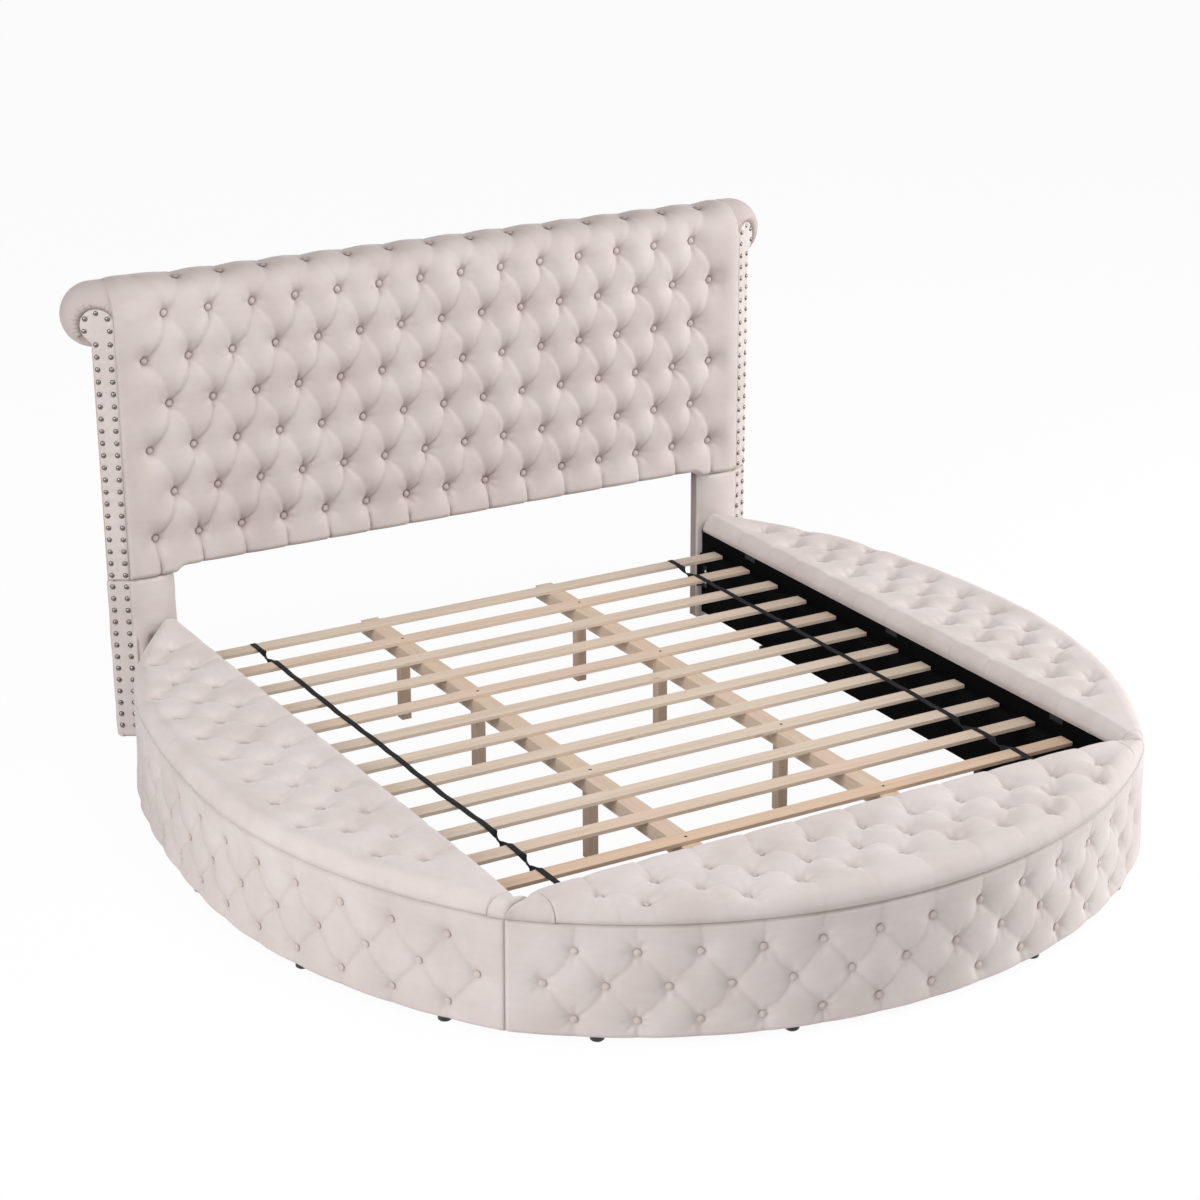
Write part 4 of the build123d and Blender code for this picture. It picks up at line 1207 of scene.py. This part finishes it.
        def place(across: Array, along: Array) -> Placed:
            """Turn the roll in over its end, and draw it in gathers to the scroll head.

            Args:
                across: Shares round the roll.
                along: Shares along it, out to its middle.

            Returns:
                Points, map and shares of painted shade.
            """
            angle = 2 * math.pi * across
            flat = 0.3
            bend = np.clip((along - flat) / (1 - flat), 0, 1) * math.pi / 2
            x = self.end_start + np.clip(along / flat, 0, 1) * (self.end_x - self.end_start)
            x = x + self.end_radius * np.sin(bend)
            radius = (self.end_radius - 0.001) * np.cos(bend)
            y = self.roll_y - radius * np.cos(angle)
            z = self.roll_z + radius * np.sin(angle)
            points = np.stack([x * self.side.value, y + HEAD_Y, z], -1)
            ahead = np.clip((points - seat) @ normal, 0, None)
            points = points - ahead[:, None] * normal
            s = (points - base) @ along_strip - self.head_out
            rise = points[:, 2] - self.head_z
            clear = np.where(rise > -0.03, np.hypot(s, rise), np.abs(s)) - self.head_radius
            turn = np.arctan2(rise, s)
            many, more = self.gathers
            wave = np.cos(many * turn + 2 * np.sin(3 * turn)) + 0.6 * np.cos(more * turn + 2)
            gather = self.gather * wave * bell(np.clip(clear - 0.006, 0, None), 0.016)
            proud = np.minimum(ahead, self.roll_proud) * rounded(clear, 0.026) + gather * rounded(clear, 0.01)
            points = points + (proud * (ahead > 0))[:, None] * normal
            # painted shade: some over the whole roll end, more at the scroll head's edge and in the hollows
            # of the gathers
            fold = 0.42 + 0.40 * bell(np.clip(clear, 0, None), 0.009) * (ahead > 0)
            fold = fold + 0.22 * np.clip(-wave, 0, 1) * bell(clear, 0.02) * (ahead > 0)
            return points, angle * self.end_radius, x, fold

        self.add_velvet("roll_end_velvet", "roll_end", 190, 90, place, 0.9)

    def leg_outline(self, rolled: float) -> Array:
        """Points round the leg in plan, from the back inner corner to the strip and back.

        Args:
            rolled: 0 for the flat front with its nose beside the bench, 1 for the full roll above it.

        Returns:
            One row for each point, x and y.
        """
        nose = []
        for k in range(13):
            t = k / 12
            x = self.nose_start + t * (self.strip_in - self.nose_start)
            swell = math.sin(math.pi * (t / 1.22) ** 0.85)
            nose.append((x, self.front - (self.nose_reach + 0.002) * swell - t * self.front * (t > 0.9)))
        front = [(self.inner + 0.003, self.front + 0.002), (self.inner + 0.014, self.front)]
        front += [(self.inner + 0.014 + (self.nose_start - self.inner - 0.014) * k / 6, self.front)
                  for k in range(1, 6)]
        line = [(self.inner, self.back), (self.inner, self.front + 0.008)]
        for x, y in front + nose:
            t = (x - self.inner) / (self.strip_in - self.inner)
            full = (self.front + 0.002) * (1 - t) + 0.003 * t - self.roll * math.sin(math.pi * t) ** 0.7
            line.append((x, y + rolled * (full - y)))
        line.append((self.strip_in + 0.002, 0.0005))
        line += [(self.strip_in + (self.strip_out - self.strip_in) * k / 6, self.strip_depth * k / 6)
                 for k in range(1, 7)]
        line += [(self.strip_out, self.back), (self.inner, self.back)]
        return np.array(line)

    def make_leg(self) -> None:
        """The padded sleeve of the lower leg."""
        ring, plain = self.leg_outline(1.0), self.leg_outline(0.0)
        length = np.concatenate([[0], np.cumsum(np.hypot(*np.diff(ring, axis=0).T))])
        centre = np.array([(self.inner + self.strip_out) / 2, (self.front + self.back) / 2])

        def place(across: Array, along: Array) -> Placed:
            """Wrap the sleeve round the leg, from the flat front below to the roll above.

            Args:
                across: Shares round the leg.
                along: Shares up it.

            Returns:
                Points, map and shares of painted shade.
            """
            at = across * length[-1]
            share = np.interp(along, (0, 0.15, 0.85, 1), (0, 0.03, 0.97, 1))
            z = self.leg_low + share * (self.leg_top + 0.0012 - self.leg_low)
            above = np.clip((z - self.bench_top) / self.leg_shift, 0, 1)
            above = above * above * (3 - 2 * above)
            x = np.interp(at, length, ring[:, 0])
            y = np.interp(at, length, plain[:, 1]) * (1 - above) + np.interp(at, length, ring[:, 1]) * above
            # painted shade on the leg's inner side face
            inward = bell(x - self.inner, 0.002) * (y > self.front + 0.008)
            edge = np.minimum(z - self.leg_low, self.leg_top - z)
            draw = 0.005 * (1 - rounded(edge, self.leg_seam)) - 0.0009 * ripple(at, z, 0.12, 5)
            draw = draw * (np.abs(y - self.back) > 1e-4)
            reach = np.hypot(x - centre[0], y - centre[1]) + 1e-6
            x = x - np.sign(x - centre[0]) * np.minimum(draw, reach)
            y = y - np.sign(y - centre[1]) * np.minimum(draw, reach)
            return np.stack([x * self.side.value, y + HEAD_Y, z], -1), at, z, inward

        self.add_velvet("leg_velvet", "leg_cover", 120, 60, place, 0.6)

    def nail_spots(self) -> tuple[list[Matrix], list[Matrix]]:
        """Set out the nails.

        Returns:
            Where they stand on the facing and on the leg.
        """
        def stand(across: float, z: float, lift: float) -> Matrix:
            """A nail on the strip."""
            return stood_on(self.on_strip, across, z, lift, lift + 0.01)

        pair = (self.nail_edge, self.width - self.nail_edge)
        low, high = self.leg_top + self.nail_pitch / 2, self.leg_top - self.nail_pitch / 2
        count = int((self.neck_z - low) / self.nail_pitch) + 1
        upper = [stand(a, low + k * self.nail_pitch, 0.002) for k in range(count) for a in pair]
        radius = self.head_radius - self.nail_edge
        turns = int(math.pi * radius * 4 / 3 / self.nail_pitch)
        for k in range(turns + 1):
            angle = self.nail_start + self.nail_sweep * k / turns
            upper.append(stand(self.head_out + radius * math.cos(angle),
                               self.head_z + radius * math.sin(angle), 0.002))
        count = int((high - 0.012) / self.nail_pitch) + 1
        lower = [stand(a, high - k * self.nail_pitch, -0.0005) for k in range(count) for a in pair]
        return upper, lower


def make_nails(ends: list[HeadboardEnd], finishes: Finishes) -> None:
    """All the domed nails, as one piece above and one below.

    Args:
        ends: The two ends of the headboard.
        finishes: The finishes.
    """
    radius, height = ends[0].nail_radius, ends[0].nail_height
    profile = [(0.0, height), (0.45 * radius, 0.9 * height), (0.8 * radius, 0.6 * height),
               (radius, 0.12 * height), (0.9 * radius, -0.001), (0.0, -0.001)]
    dome = turned("nail_shape", profile, 10)
    spots = [end.nail_spots() for end in ends]
    for name, node, k in (("facing_nail_set", "facing_nails", 0), ("leg_nail_set", "leg_nails", 1)):
        mesh = repeat(name, dome, [spot for pair in spots for spot in pair[k]])
        finish_piece(mesh, Body.FRAME, "chrome_nails", finishes.chrome, node)


@dataclass(frozen=True)
class Bench:
    """One storage bench of the ring: how its buttons are set out, and the stretch of its lid."""

    side: Side
    lid: Body
    pitch: float
    phase: float
    start: float
    end: float
    wall_seed: int
    lid_seed: int

    @property
    def is_foot(self) -> bool:
        """Whether this is the bench at the foot."""
        return self.side is Side.FOOT

    @property
    def word(self) -> str:
        """The bench's name inside a node's name."""
        return self.side.word


@dataclass
class BenchWall:
    """A curved outer wall with shallow buttoning."""

    bench: Bench
    outline: Outline
    finishes: Finishes
    low: float = 0.012
    seam: float = 0.330
    crown: float = 0.017
    cover: float = 0.024
    flare: float = 0.009
    lowest_row: float = 0.062
    row_pitch: float = 0.094
    button_radius: float = 0.0102
    button_height: float = 0.0055
    thickness: float = 0.004
    cell: float = 0.0052
    quick_cell: float = 0.009
    rim_round: float = 0.016
    end_round: float = 0.014
    end_share: float = 0.72

    @property
    def span(self) -> Spot:
        """Where the wall starts and ends along the outline."""
        half = self.outline.foot_half
        return (-half, half) if self.bench.is_foot else (0.0, self.outline.side_length)

    def point(self, s: Array, z: Array, out: Array) -> Array:
        """Points of the wall.

        Args:
            s: Lengths along it.
            z: Heights.
            out: How far they are moved out.

        Returns:
            The points.
        """
        if self.bench.is_foot:
            x, y = self.outline.foot_point(s, out)
        else:
            x, y = self.outline.side_point(s, out)
            x = x * self.bench.side.value
        return np.stack([x, y + HEAD_Y, z], -1)

    def net(self) -> TuftNet:
        """Draw the buttons, folds and pleats of the wall.

        Returns:
            The net.
        """
        start, end = self.span
        # dark sets the painted shade along the folds
        net = TuftNet(self.crown, dimple=0.027, broad_share=0.20, crease_share=0.16, crease=0.010, bow=0.004,
                      dark=0.45, lean=0.35, wander=0.004, pull=0.0012, seed=self.bench.wall_seed)
        pitch, phase = self.bench.pitch, self.bench.phase
        low, middle, high = (self.lowest_row + k * self.row_pitch for k in range(3))
        even, odd = (staggered(start + pitch / 4, end - pitch / 4, pitch, phase + shift)
                     for shift in (0, pitch / 2))
        for s in even:
            net.buttons += [(s, low), (s, high)]
            net.fold((s, low), (s, self.low), 0.6)
            net.fold((s, high), (s, self.seam), 0.45 if self.bench.is_foot else 0.12)
        for s in odd:
            net.buttons.append((s, middle))
            for near in even:
                if neighbours(near, s, pitch):
                    net.fold((s, middle), (near, low), 0.85)
                    net.fold((s, middle), (near, high), 0.85)
        return net

    def make(self) -> None:
        """The padded cover."""
        net = self.net()
        start, end = self.span
        tall = self.seam - self.low
        step = self.cell

        def place(across: Array, along: Array) -> Placed:
            """Pad the wall, drawn in at its rims and its end.

            Args:
                across: Shares along the wall.
                along: Shares up it.

            Returns:
                Points, map and shares of painted shade.
            """
            s = start + across * (end - start)
            z = self.low + eased(along, 0.45) * tall
            height, fold = net.relief(s, z)
            closing = np.minimum(s - start, end - s) if self.bench.is_foot else end - s
            sides = self.end_share + (1 - self.end_share) * rounded(closing, self.end_round)
            rim = rounded(np.minimum(z - self.low, self.seam - z) + 2e-4, self.rim_round)
            out = (self.cover - self.crown + height) * rim * sides
            out = out - self.cover + self.flare * (self.seam - z) / tall
            return self.point(s, z, out), s, z, fold

        mesh = cloth_mesh(f"wall_velvet_{self.bench.word}", round((end - start) / step), round(tall / step),
                          place, (0.0, HEAD_Y - self.outline.widest, 0.17))
        finish_piece(mesh, Body.FRAME, "velvet", self.finishes.velvet, f"rail_cover_{self.bench.word}",
                     depth=self.thickness, fill=0.5)

    def button_spots(self) -> list[Matrix]:
        """Set out the wall's buttons.

        Returns:
            Where they stand.
        """
        spots = []
        for s, z in self.net().buttons:
            if self.bench.is_foot or self.span[1] - s > self.button_radius:
                face = self.flare * (self.seam - z) / (self.seam - self.low) - self.crown
                spots.append(stood_on(self.point, s, z, face + 0.0008, face + 0.01, s * 5))
        return spots


@dataclass
class Lid:
    """A lifting lid: a deep-buttoned cushion over its board."""

    bench: Bench
    outline: Outline
    finishes: Finishes
    underside: float = 0.3325
    plane: float = 0.031
    crown: float = 0.029
    first_row: float = 0.112
    row_pitch: float = 0.094
    tuft_edge: float = 0.052
    tuft_end: float = 0.120
    inner_round: float = 0.034
    outer_round: float = 0.060
    tip_round: float = 0.014
    set_back: float = 0.017
    tip_fall: float = 0.20
    tip_length: float = 0.30
    button_radius: float = 0.0102
    button_height: float = 0.0052
    cell: float = 0.0056
    quick_cell: float = 0.010
    widest: float = 0.46
    narrow: float = 0.16

    def reach(self, u: Array) -> Array:
        """Width of the lid.

        Args:
            u: Places along its hinge.

        Returns:
            The widths, from the inner edge to the outline.
        """
        if self.bench.is_foot:
            return self.outline.foot_at(u) - self.outline.foot_edge
        return self.outline.half_at(u) - self.outline.inner_edge

    def point(self, u: Array, v: Array, z: Array) -> Array:
        """Points of the lid.

        Args:
            u: Places along its hinge.
            v: Distances out from its inner edge.
            z: Heights.

        Returns:
            The points.
        """
        if self.bench.is_foot:
            return np.stack([u, -self.outline.foot_edge - v + HEAD_Y, z], -1)
        return np.stack([(self.outline.inner_edge + v) * self.bench.side.value, -u + HEAD_Y, z], -1)

    def net(self) -> TuftNet:
        """Draw the buttons, folds and the pleats to both edges.

        Returns:
            The net.
        """
        net = TuftNet(self.crown, dimple=0.027, broad_share=0.26, bow=0.009, wander=0.005, pull=0.0016,
                      flat=0.010, seed=self.bench.lid_seed)
        pitch, (first, last) = self.bench.pitch, (self.bench.start, self.bench.end)
        rows = []
        for k in range(3):
            v = self.first_row + k * self.row_pitch
            spots = staggered(first, last, pitch, self.bench.phase + (k % 2) * pitch / 2)
            rows.append([(u, v) for u in spots if first + self.tuft_end <= u <= last - self.tuft_end
                         and float(single(self.reach, u)) - v >= self.tuft_edge])
        for row, beyond in zip(rows, [*rows[1:], []]):
            for u, v in row:
                net.buttons.append((u, v))
                next_to = [far for far in beyond if neighbours(far[0], u, pitch)]
                for far in next_to:
                    net.fold((u, v), far)
                if row is rows[0]:
                    net.fold((u, v), (u, 0.0), 0.55)
                if len(next_to) < 2:
                    net.fold((u, v), (u, float(single(self.reach, u))), 0.30 if self.bench.is_foot else 0.10)
        return net

    def make(self) -> None:
        """The cushion and its buttons."""
        net = self.net()
        step = self.cell
        is_foot, end = self.bench.is_foot, self.bench.end
        first = self.bench.start + (0.0 if is_foot else self.set_back)
        columns = round((end - first) / step)

        def place(across: Array, along: Array) -> Placed:
            """Pad the lid, with upright ends and soft edges.

            Args:
                across: Shares along the hinge; the first and last column close the ends.
                along: Shares from the inner edge out.

            Returns:
                Points, map and shares of painted shade.
            """
            column = across * columns
            ends = (column > 0.5) & (column < columns - 0.5)
            u = first + np.clip((column - 1) / (columns - 2), 0, 1) * (end - first)
            wide = self.reach(u)
            v = eased(along, 0.45) * wide
            height, fold = net.relief(u, v)
            narrow = np.clip(wide / self.narrow, 0.3, 1)
            sides = rounded(v, self.inner_round) * rounded(wide - v, self.outer_round * narrow)
            tips = ends * (1.0 if is_foot else rounded(u - first + 0.002, self.tip_round))
            to_tip = np.minimum(end - u, u - first) if is_foot else end - u
            tips = tips * (1 - self.tip_fall * (1 - rounded(to_tip, self.tip_length)))
            return self.point(u, v, self.underside + (self.plane + height) * sides * tips), u, v, fold

        word, body = self.bench.word, self.bench.lid
        mesh = cloth_mesh(f"lid_velvet_{word}", columns, round(self.widest / step), place)
        finish_piece(mesh, body, "velvet", self.finishes.velvet, f"lid_cushion_{word}", fill=0.8)
        seat = self.underside + self.plane + 0.0008
        spots = [standing(Vector(single(self.point, u, v, seat)), Vector((0, 0, 1)), u * 9)
                 for u, v in net.buttons]
        add_buttons(f"lid_button_set_{word}", f"lid_buttons_{word}", body, self.button_radius,
                    self.button_height, spots, self.finishes.button)


@dataclass
class CornerPad:
    """The fixed padded corner between a side lid and the foot lid."""

    side: Side
    outline: Outline
    finishes: Finishes
    start: float = 0.9315
    base: float = 0.330
    height: float = 0.0505
    inner_round: float = 0.034
    outer_round: float = 0.060
    mitre: float = 0.026
    steps: int = 44
    narrow: float = 0.16
    seam_share: float = 0.35
    pleat: float = 0.0016
    pleat_count: int = 19

    def make(self) -> None:
        """The pad."""
        line = self.outline
        left, near_y = self.start, line.foot_edge
        wide = float(single(line.half_at, near_y)) - left
        deep = float(single(line.foot_at, left)) - near_y
        corner_x, corner_y = line.corner

        def place(across: Array, along: Array) -> Placed:
            """Pad each side of the mitre, flush with both lids.

            Args:
                across: Shares across; the first column closes the edge.
                along: Shares toward the foot; the first row closes the edge.

            Returns:
                Points, map and shares of painted shade.
            """
            a, b = (np.clip((share * self.steps - 1) / (self.steps - 1), 0, 1) for share in (across, along))
            closed = (across * self.steps < 0.5) | (along * self.steps < 0.5)
            x = left + a * ((1 - b) * wide + b * (corner_x - left))
            y = near_y + b * ((1 - a) * deep + a * (corner_y - near_y))
            inner = np.maximum(x - line.inner_edge, y - line.foot_edge)
            outer = np.minimum((1 - a) * wide, (1 - b) * deep)
            reach = np.where(a > b, wide, deep)
            edge = rounded(outer, self.outer_round * np.clip(reach / self.narrow, 0.3, 1))
            away = np.abs(a - b) * 0.5 * (wide + deep)
            seam = self.seam_share + (1 - self.seam_share) * rounded(away, self.mitre)
            turn = np.arctan2(y - corner_y, x - corner_x)
            pleats = self.pleat * np.cos(self.pleat_count * turn) * bell(away - 0.012, 0.014) * (b > a)
            full = rounded(inner, self.inner_round) * edge * seam
            z = self.base + np.where(closed, 0, self.height * full + pleats * edge)
            # painted shade along the mitre and in the hollows of the pleats
            shade = 0.55 * bell(away, 0.004) + 0.3 * np.clip(-pleats / self.pleat, 0, 1)
            return np.stack([x * self.side.value, HEAD_Y - y, z], -1), x, y, shade

        mesh = cloth_mesh(f"corner_velvet_{self.side.word}", self.steps, self.steps, place)
        finish_piece(mesh, Body.FRAME, "velvet", self.finishes.velvet, f"corner_pad_{self.side.word}",
                     fill=0.7)


@dataclass
class Feet:
    """The black feet under the bench, close to its outer edge."""

    outline: Outline
    finishes: Finishes
    radius: float = 0.019
    height: float = 0.021
    inset: float = 0.024
    inner: float = 0.991
    length: float = 2.248
    foot_half: float = 0.930
    side_shares: tuple[float, ...] = (0.249, 0.498, 0.747, 0.945)
    foot_shares: tuple[float, ...] = (0.414, 0.902)
    inner_shares: tuple[float, ...] = (0.178, 0.712)
    rim: float = 0.003

    def make(self) -> None:
        """One piece with every foot."""
        spots = [(float(single(self.outline.half_at, self.length * share)) - self.inset, -self.length * share)
                 for share in self.side_shares]
        spots += [(x, self.inset - float(single(self.outline.foot_at, x)))
                  for x in (self.foot_half * share for share in self.foot_shares)]
        spots += [(self.inner, -self.length * share) for share in self.inner_shares]
        profile = [(0.0, self.height), (self.radius, self.height), (self.radius, self.rim),
                   (self.radius - self.rim, 0.0), (0.0, 0.0)]
        places = [standing(Vector((side.value * x, y + HEAD_Y, 0)), Vector((0, 0, 1)))
                  for x, y in spots for side in PAIR]
        mesh = repeat("feet", turned("foot_shape", profile, 20), places)
        finish_piece(mesh, Body.FRAME, "black_plastic", self.finishes.plastic, "glides")


@dataclass
class SlatBase:
    """The timber grid in the middle and the webbing that ties its slats."""

    finishes: Finishes
    top: float = 0.275
    first: float = 0.114
    pitch: float = 0.172
    count: int = 12
    slat: float = 0.054
    strap_width: float = 0.019
    strap_thickness: float = 0.0012
    strap_places: Spot = (-0.762, 0.800)
    tail: float = 0.208
    lift: float = 0.0004
    slack: float = 0.014
    taut: float = 0.0015
    slack_bays: tuple[int, ...] = (0, 9, 10)
    sway: float = 0.004
    twist: float = 2.4

    def strap(self, centre: float, seed: int, start: float, length: float) -> Surface:
        """Run one strap over the slats.

        Args:
            centre: Its place across.
            seed: Choice of its small swings.
            start: Where it begins.
            length: How long it is.

        Returns:
            Its surface.
        """
        luck = np.random.default_rng(seed)
        sag = np.where(np.isin(np.arange(self.count), self.slack_bays), self.slack, self.taut)
        sway = luck.uniform(-self.sway, self.sway, self.count + 2)
        gap = self.pitch - self.slat

        def place(across: Array, along: Array) -> Placed:
            """Lay the webbing flat on each slat, and slack or twisted between some of them.

            Args:
                across: Shares across the webbing.
                along: Shares of its length.

            Returns:
                Points, map and fold shares.
            """
            down = along * length
            bay = np.clip(np.floor((down - self.slat) / self.pitch + 1e-6), -1, self.count - 2)
            share = np.clip((down - self.slat - bay * self.pitch) / gap, 0, 1)
            loose = sag[np.clip(bay, 0, self.count - 2).astype(int)] * (bay >= 0)
            dip = loose * np.sin(math.pi * share) ** 0.8
            twist = (loose > 0.01) * self.twist * np.sin(math.pi * share) ** 2
            drift = np.interp(down / self.pitch, np.arange(self.count + 2), sway)
            side = (across - 0.5) * self.strap_width
            x = centre + drift + side * np.cos(twist) + loose * 0.6 * np.sin(2 * math.pi * share)
            z = self.top + self.lift - dip + side * np.sin(twist)
            return np.stack([x, HEAD_Y - start - down, z], -1), side, down, np.zeros_like(x)

        return place

    def make_straps(self) -> None:
        """Both straps, as one piece."""
        start = self.first - self.slat / 2
        length = self.pitch * (self.count - 1) + self.slat + self.tail
        bm = bmesh.new()
        for k, x in enumerate(self.strap_places):
            bm.from_mesh(cloth_mesh(f"strap_{k}", 3, 370, self.strap(x, k + 5, start, length), (x, 0, 0)))
        finish_piece(as_mesh(bm, "slat_straps"), Body.FRAME, "webbing", self.finishes.webbing, "straps",
                     depth=self.strap_thickness, way=1.0)


@dataclass
class KeptParts:
    """CAD parts whose shape stays and which only get their finish and softened edges."""

    finishes: Finishes
    corner: float = math.radians(50)

    def dress(self, material: Material, bevel: float, *nodes: str) -> None:
        """Dress nodes of one finish.

        Args:
            material: The finish.
            bevel: Width of the softened edges, or 0 for none.
            *nodes: Names of the nodes.
        """
        for node in nodes:
            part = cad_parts[node]
            part.data.materials.clear()
            part.data.materials.append(material)
            if bevel:
                part.modifiers.new("weld", "WELD").merge_threshold = 0.00001
                edge = part.modifiers.new("edge", "BEVEL")
                edge.width = bevel
                edge.segments = 2
                edge.limit_method = "ANGLE"
                edge.angle_limit = self.corner

    def dress_all(self) -> None:
        """Dress every kept node."""
        f = self.finishes
        self.dress(f.slats, 0.0012, "slats")
        self.dress(f.lining, 0.0015, "slat_ledgers")
        self.dress(f.rails, 0.0015, "centre_rails")
        self.dress(f.legs, 0.0015, "base_legs")
        for side in Side:
            self.dress(f.board, 0, f"wall_{side.word}")
            self.dress(f.lining, 0.001, f"inner_panel_{side.word}", f"lid_board_{side.word}")
            self.dress(f.lining, 0, f"base_board_{side.word}")
            self.dress(f.dark_steel, 0, f"hinge_leaf_fixed_{side.word}", f"hinge_leaf_moving_{side.word}")
        for side in PAIR:
            self.dress(f.legs, 0, f"headboard_leg_{side.word}")
            self.dress(f.board, 0, f"headboard_post_{side.word}")
        self.dress(f.dark_steel, 0, "hinge_pins", "slat_screws")
        self.dress(f.lining, 0, "end_panels", "headboard_back_cover")
        self.dress(f.board, 0, "headboard_board")
        self.dress(f.rails, 0, "headboard_top_rail")
        self.dress(f.steel, 0.0005, "joint_plates")
        self.dress(f.dark_steel, 0.0005, "bed_brackets")
        self.dress(f.steel, 0, "frame_bolts")


@dataclass
class Studio:
    """Pale floor, soft lights and the camera at the photograph's place."""

    camera_at: Triple = (-3.8956, -7.7115 + HEAD_Y, 3.4496)
    yaw: float = math.radians(30.082)
    pitch: float = math.radians(20.345)
    roll: float = math.radians(-0.203)
    lens: float = 82.47
    sensor: float = 36.0
    aim: Triple = (0.0, 0.0, 0.4)
    floor_grey: float = 0.86
    floor_half: float = 30.0
    sky: Triple = (0.97, 0.98, 1.0)
    sky_strength: float = 0.27

    def make_camera(self) -> None:
        """The camera, from its yaw, pitch and roll."""
        ahead = Vector((math.sin(self.yaw) * math.cos(self.pitch), math.cos(self.yaw) * math.cos(self.pitch),
                        -math.sin(self.pitch)))
        right = Vector((math.cos(self.yaw), -math.sin(self.yaw), 0))
        up = right.cross(ahead)
        turned_right = math.cos(self.roll) * right + math.sin(self.roll) * up
        turned_up = math.cos(self.roll) * up - math.sin(self.roll) * right
        data = bpy.data.cameras.new("photo_camera")
        data.lens, data.sensor_width = self.lens, self.sensor
        data.clip_start, data.clip_end = 0.1, 200
        camera = add_object("photo_camera", data)
        axes = Matrix((turned_right, turned_up, -ahead)).transposed()
        camera.matrix_world = Matrix.Translation(Vector(self.camera_at)) @ axes.to_4x4()
        bpy.context.scene.camera = camera

    def make_light(self, name: str, at: Triple, size: float, power: float, colour: Triple) -> None:
        """One soft square light aimed at the bed.

        Args:
            name: Its name.
            at: Where it stands.
            size: Length of its side.
            power: Its watts.
            colour: Its colour.
        """
        data = bpy.data.lights.new(name, "AREA")
        data.shape, data.size, data.energy, data.color = "SQUARE", size, power, colour
        turn = (Vector(self.aim) - Vector(at)).to_track_quat("-Z", "Y").to_matrix().to_4x4()
        add_object(name, data).matrix_world = Matrix.Translation(Vector(at)) @ turn

    def make_floor(self) -> None:
        """A plain pale floor that keeps the bed's shadow."""
        bm = bmesh.new()
        bmesh.ops.create_grid(bm, x_segments=1, y_segments=1, size=self.floor_half)
        mesh = as_mesh(bm, "floor")
        n = Nodes("pale_floor")
        grey = (self.floor_grey,) * 3
        matt = n.add("BsdfDiffuse", {"Color": (*grey, 1.0)}).outputs[0]
        mesh.materials.append(n.close(n.white_seen(matt, 0.95)))
        add_object("floor", mesh)

    def make_world(self) -> None:
        """An even world light, white where the camera sees it."""
        n = Nodes("studio", world=True)
        even = n.add("Background", {0: (*self.sky, 1.0), 1: self.sky_strength}).outputs[0]
        bpy.context.scene.world = n.close(n.white_seen(even, 1.0))

    def make(self) -> None:
        """The whole studio."""
        self.make_camera()
        self.make_light("right", (7.0, -2.2, 2.6), 2.4, 450, (1.0, 0.995, 0.985))
        self.make_light("left", (-6.5, -1.5, 3.2), 3.5, 285, (1.0, 0.995, 0.99))
        self.make_light("front", (-2.0, -8.0, 3.6), 3.5, 60, (1.0, 0.995, 0.99))
        self.make_light("top", (0.5, -2.0, 6.5), 4.0, 195, (0.98, 0.99, 1.0))
        self.make_floor()
        self.make_world()
        bpy.context.scene.view_settings.view_transform = "Standard"


def main() -> None:
    """Build and dress the bed, piece by piece."""
    logging.basicConfig(level=logging.INFO, format="%(name)s: %(message)s")
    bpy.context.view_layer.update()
    finishes = Finishes()
    outline = Outline()
    Headboard(finishes).make_panel()
    ends = [HeadboardEnd(side, finishes) for side in PAIR]
    for end in ends:
        end.make_facing()
        end.make_roll_end()
        end.make_leg()
    make_nails(ends, finishes)
    benches = [Bench(Side.RIGHT, Body.LID_RIGHT, 0.171, 0.075, 0.005, 2.2462, 31, 71),
               Bench(Side.LEFT, Body.LID_LEFT, 0.171, 0.075, 0.005, 2.2462, 47, 83),
               Bench(Side.FOOT, Body.LID_FOOT, 0.160, 0.0, -0.930, 0.930, 59, 97)]
    walls = [BenchWall(bench, outline, finishes) for bench in benches]
    for wall in walls:
        wall.make()
    add_buttons("wall_button_set", "rail_buttons", Body.FRAME, walls[0].button_radius, walls[0].button_height,
                [spot for wall in walls for spot in wall.button_spots()], finishes.button)
    for bench in benches:
        Lid(bench, outline, finishes).make()
    for side in PAIR:
        CornerPad(side, outline, finishes).make()
    Feet(outline, finishes).make()
    SlatBase(finishes).make_straps()
    KeptParts(finishes).dress_all()
    Studio().make()


if __name__ == "__main__":
    main()
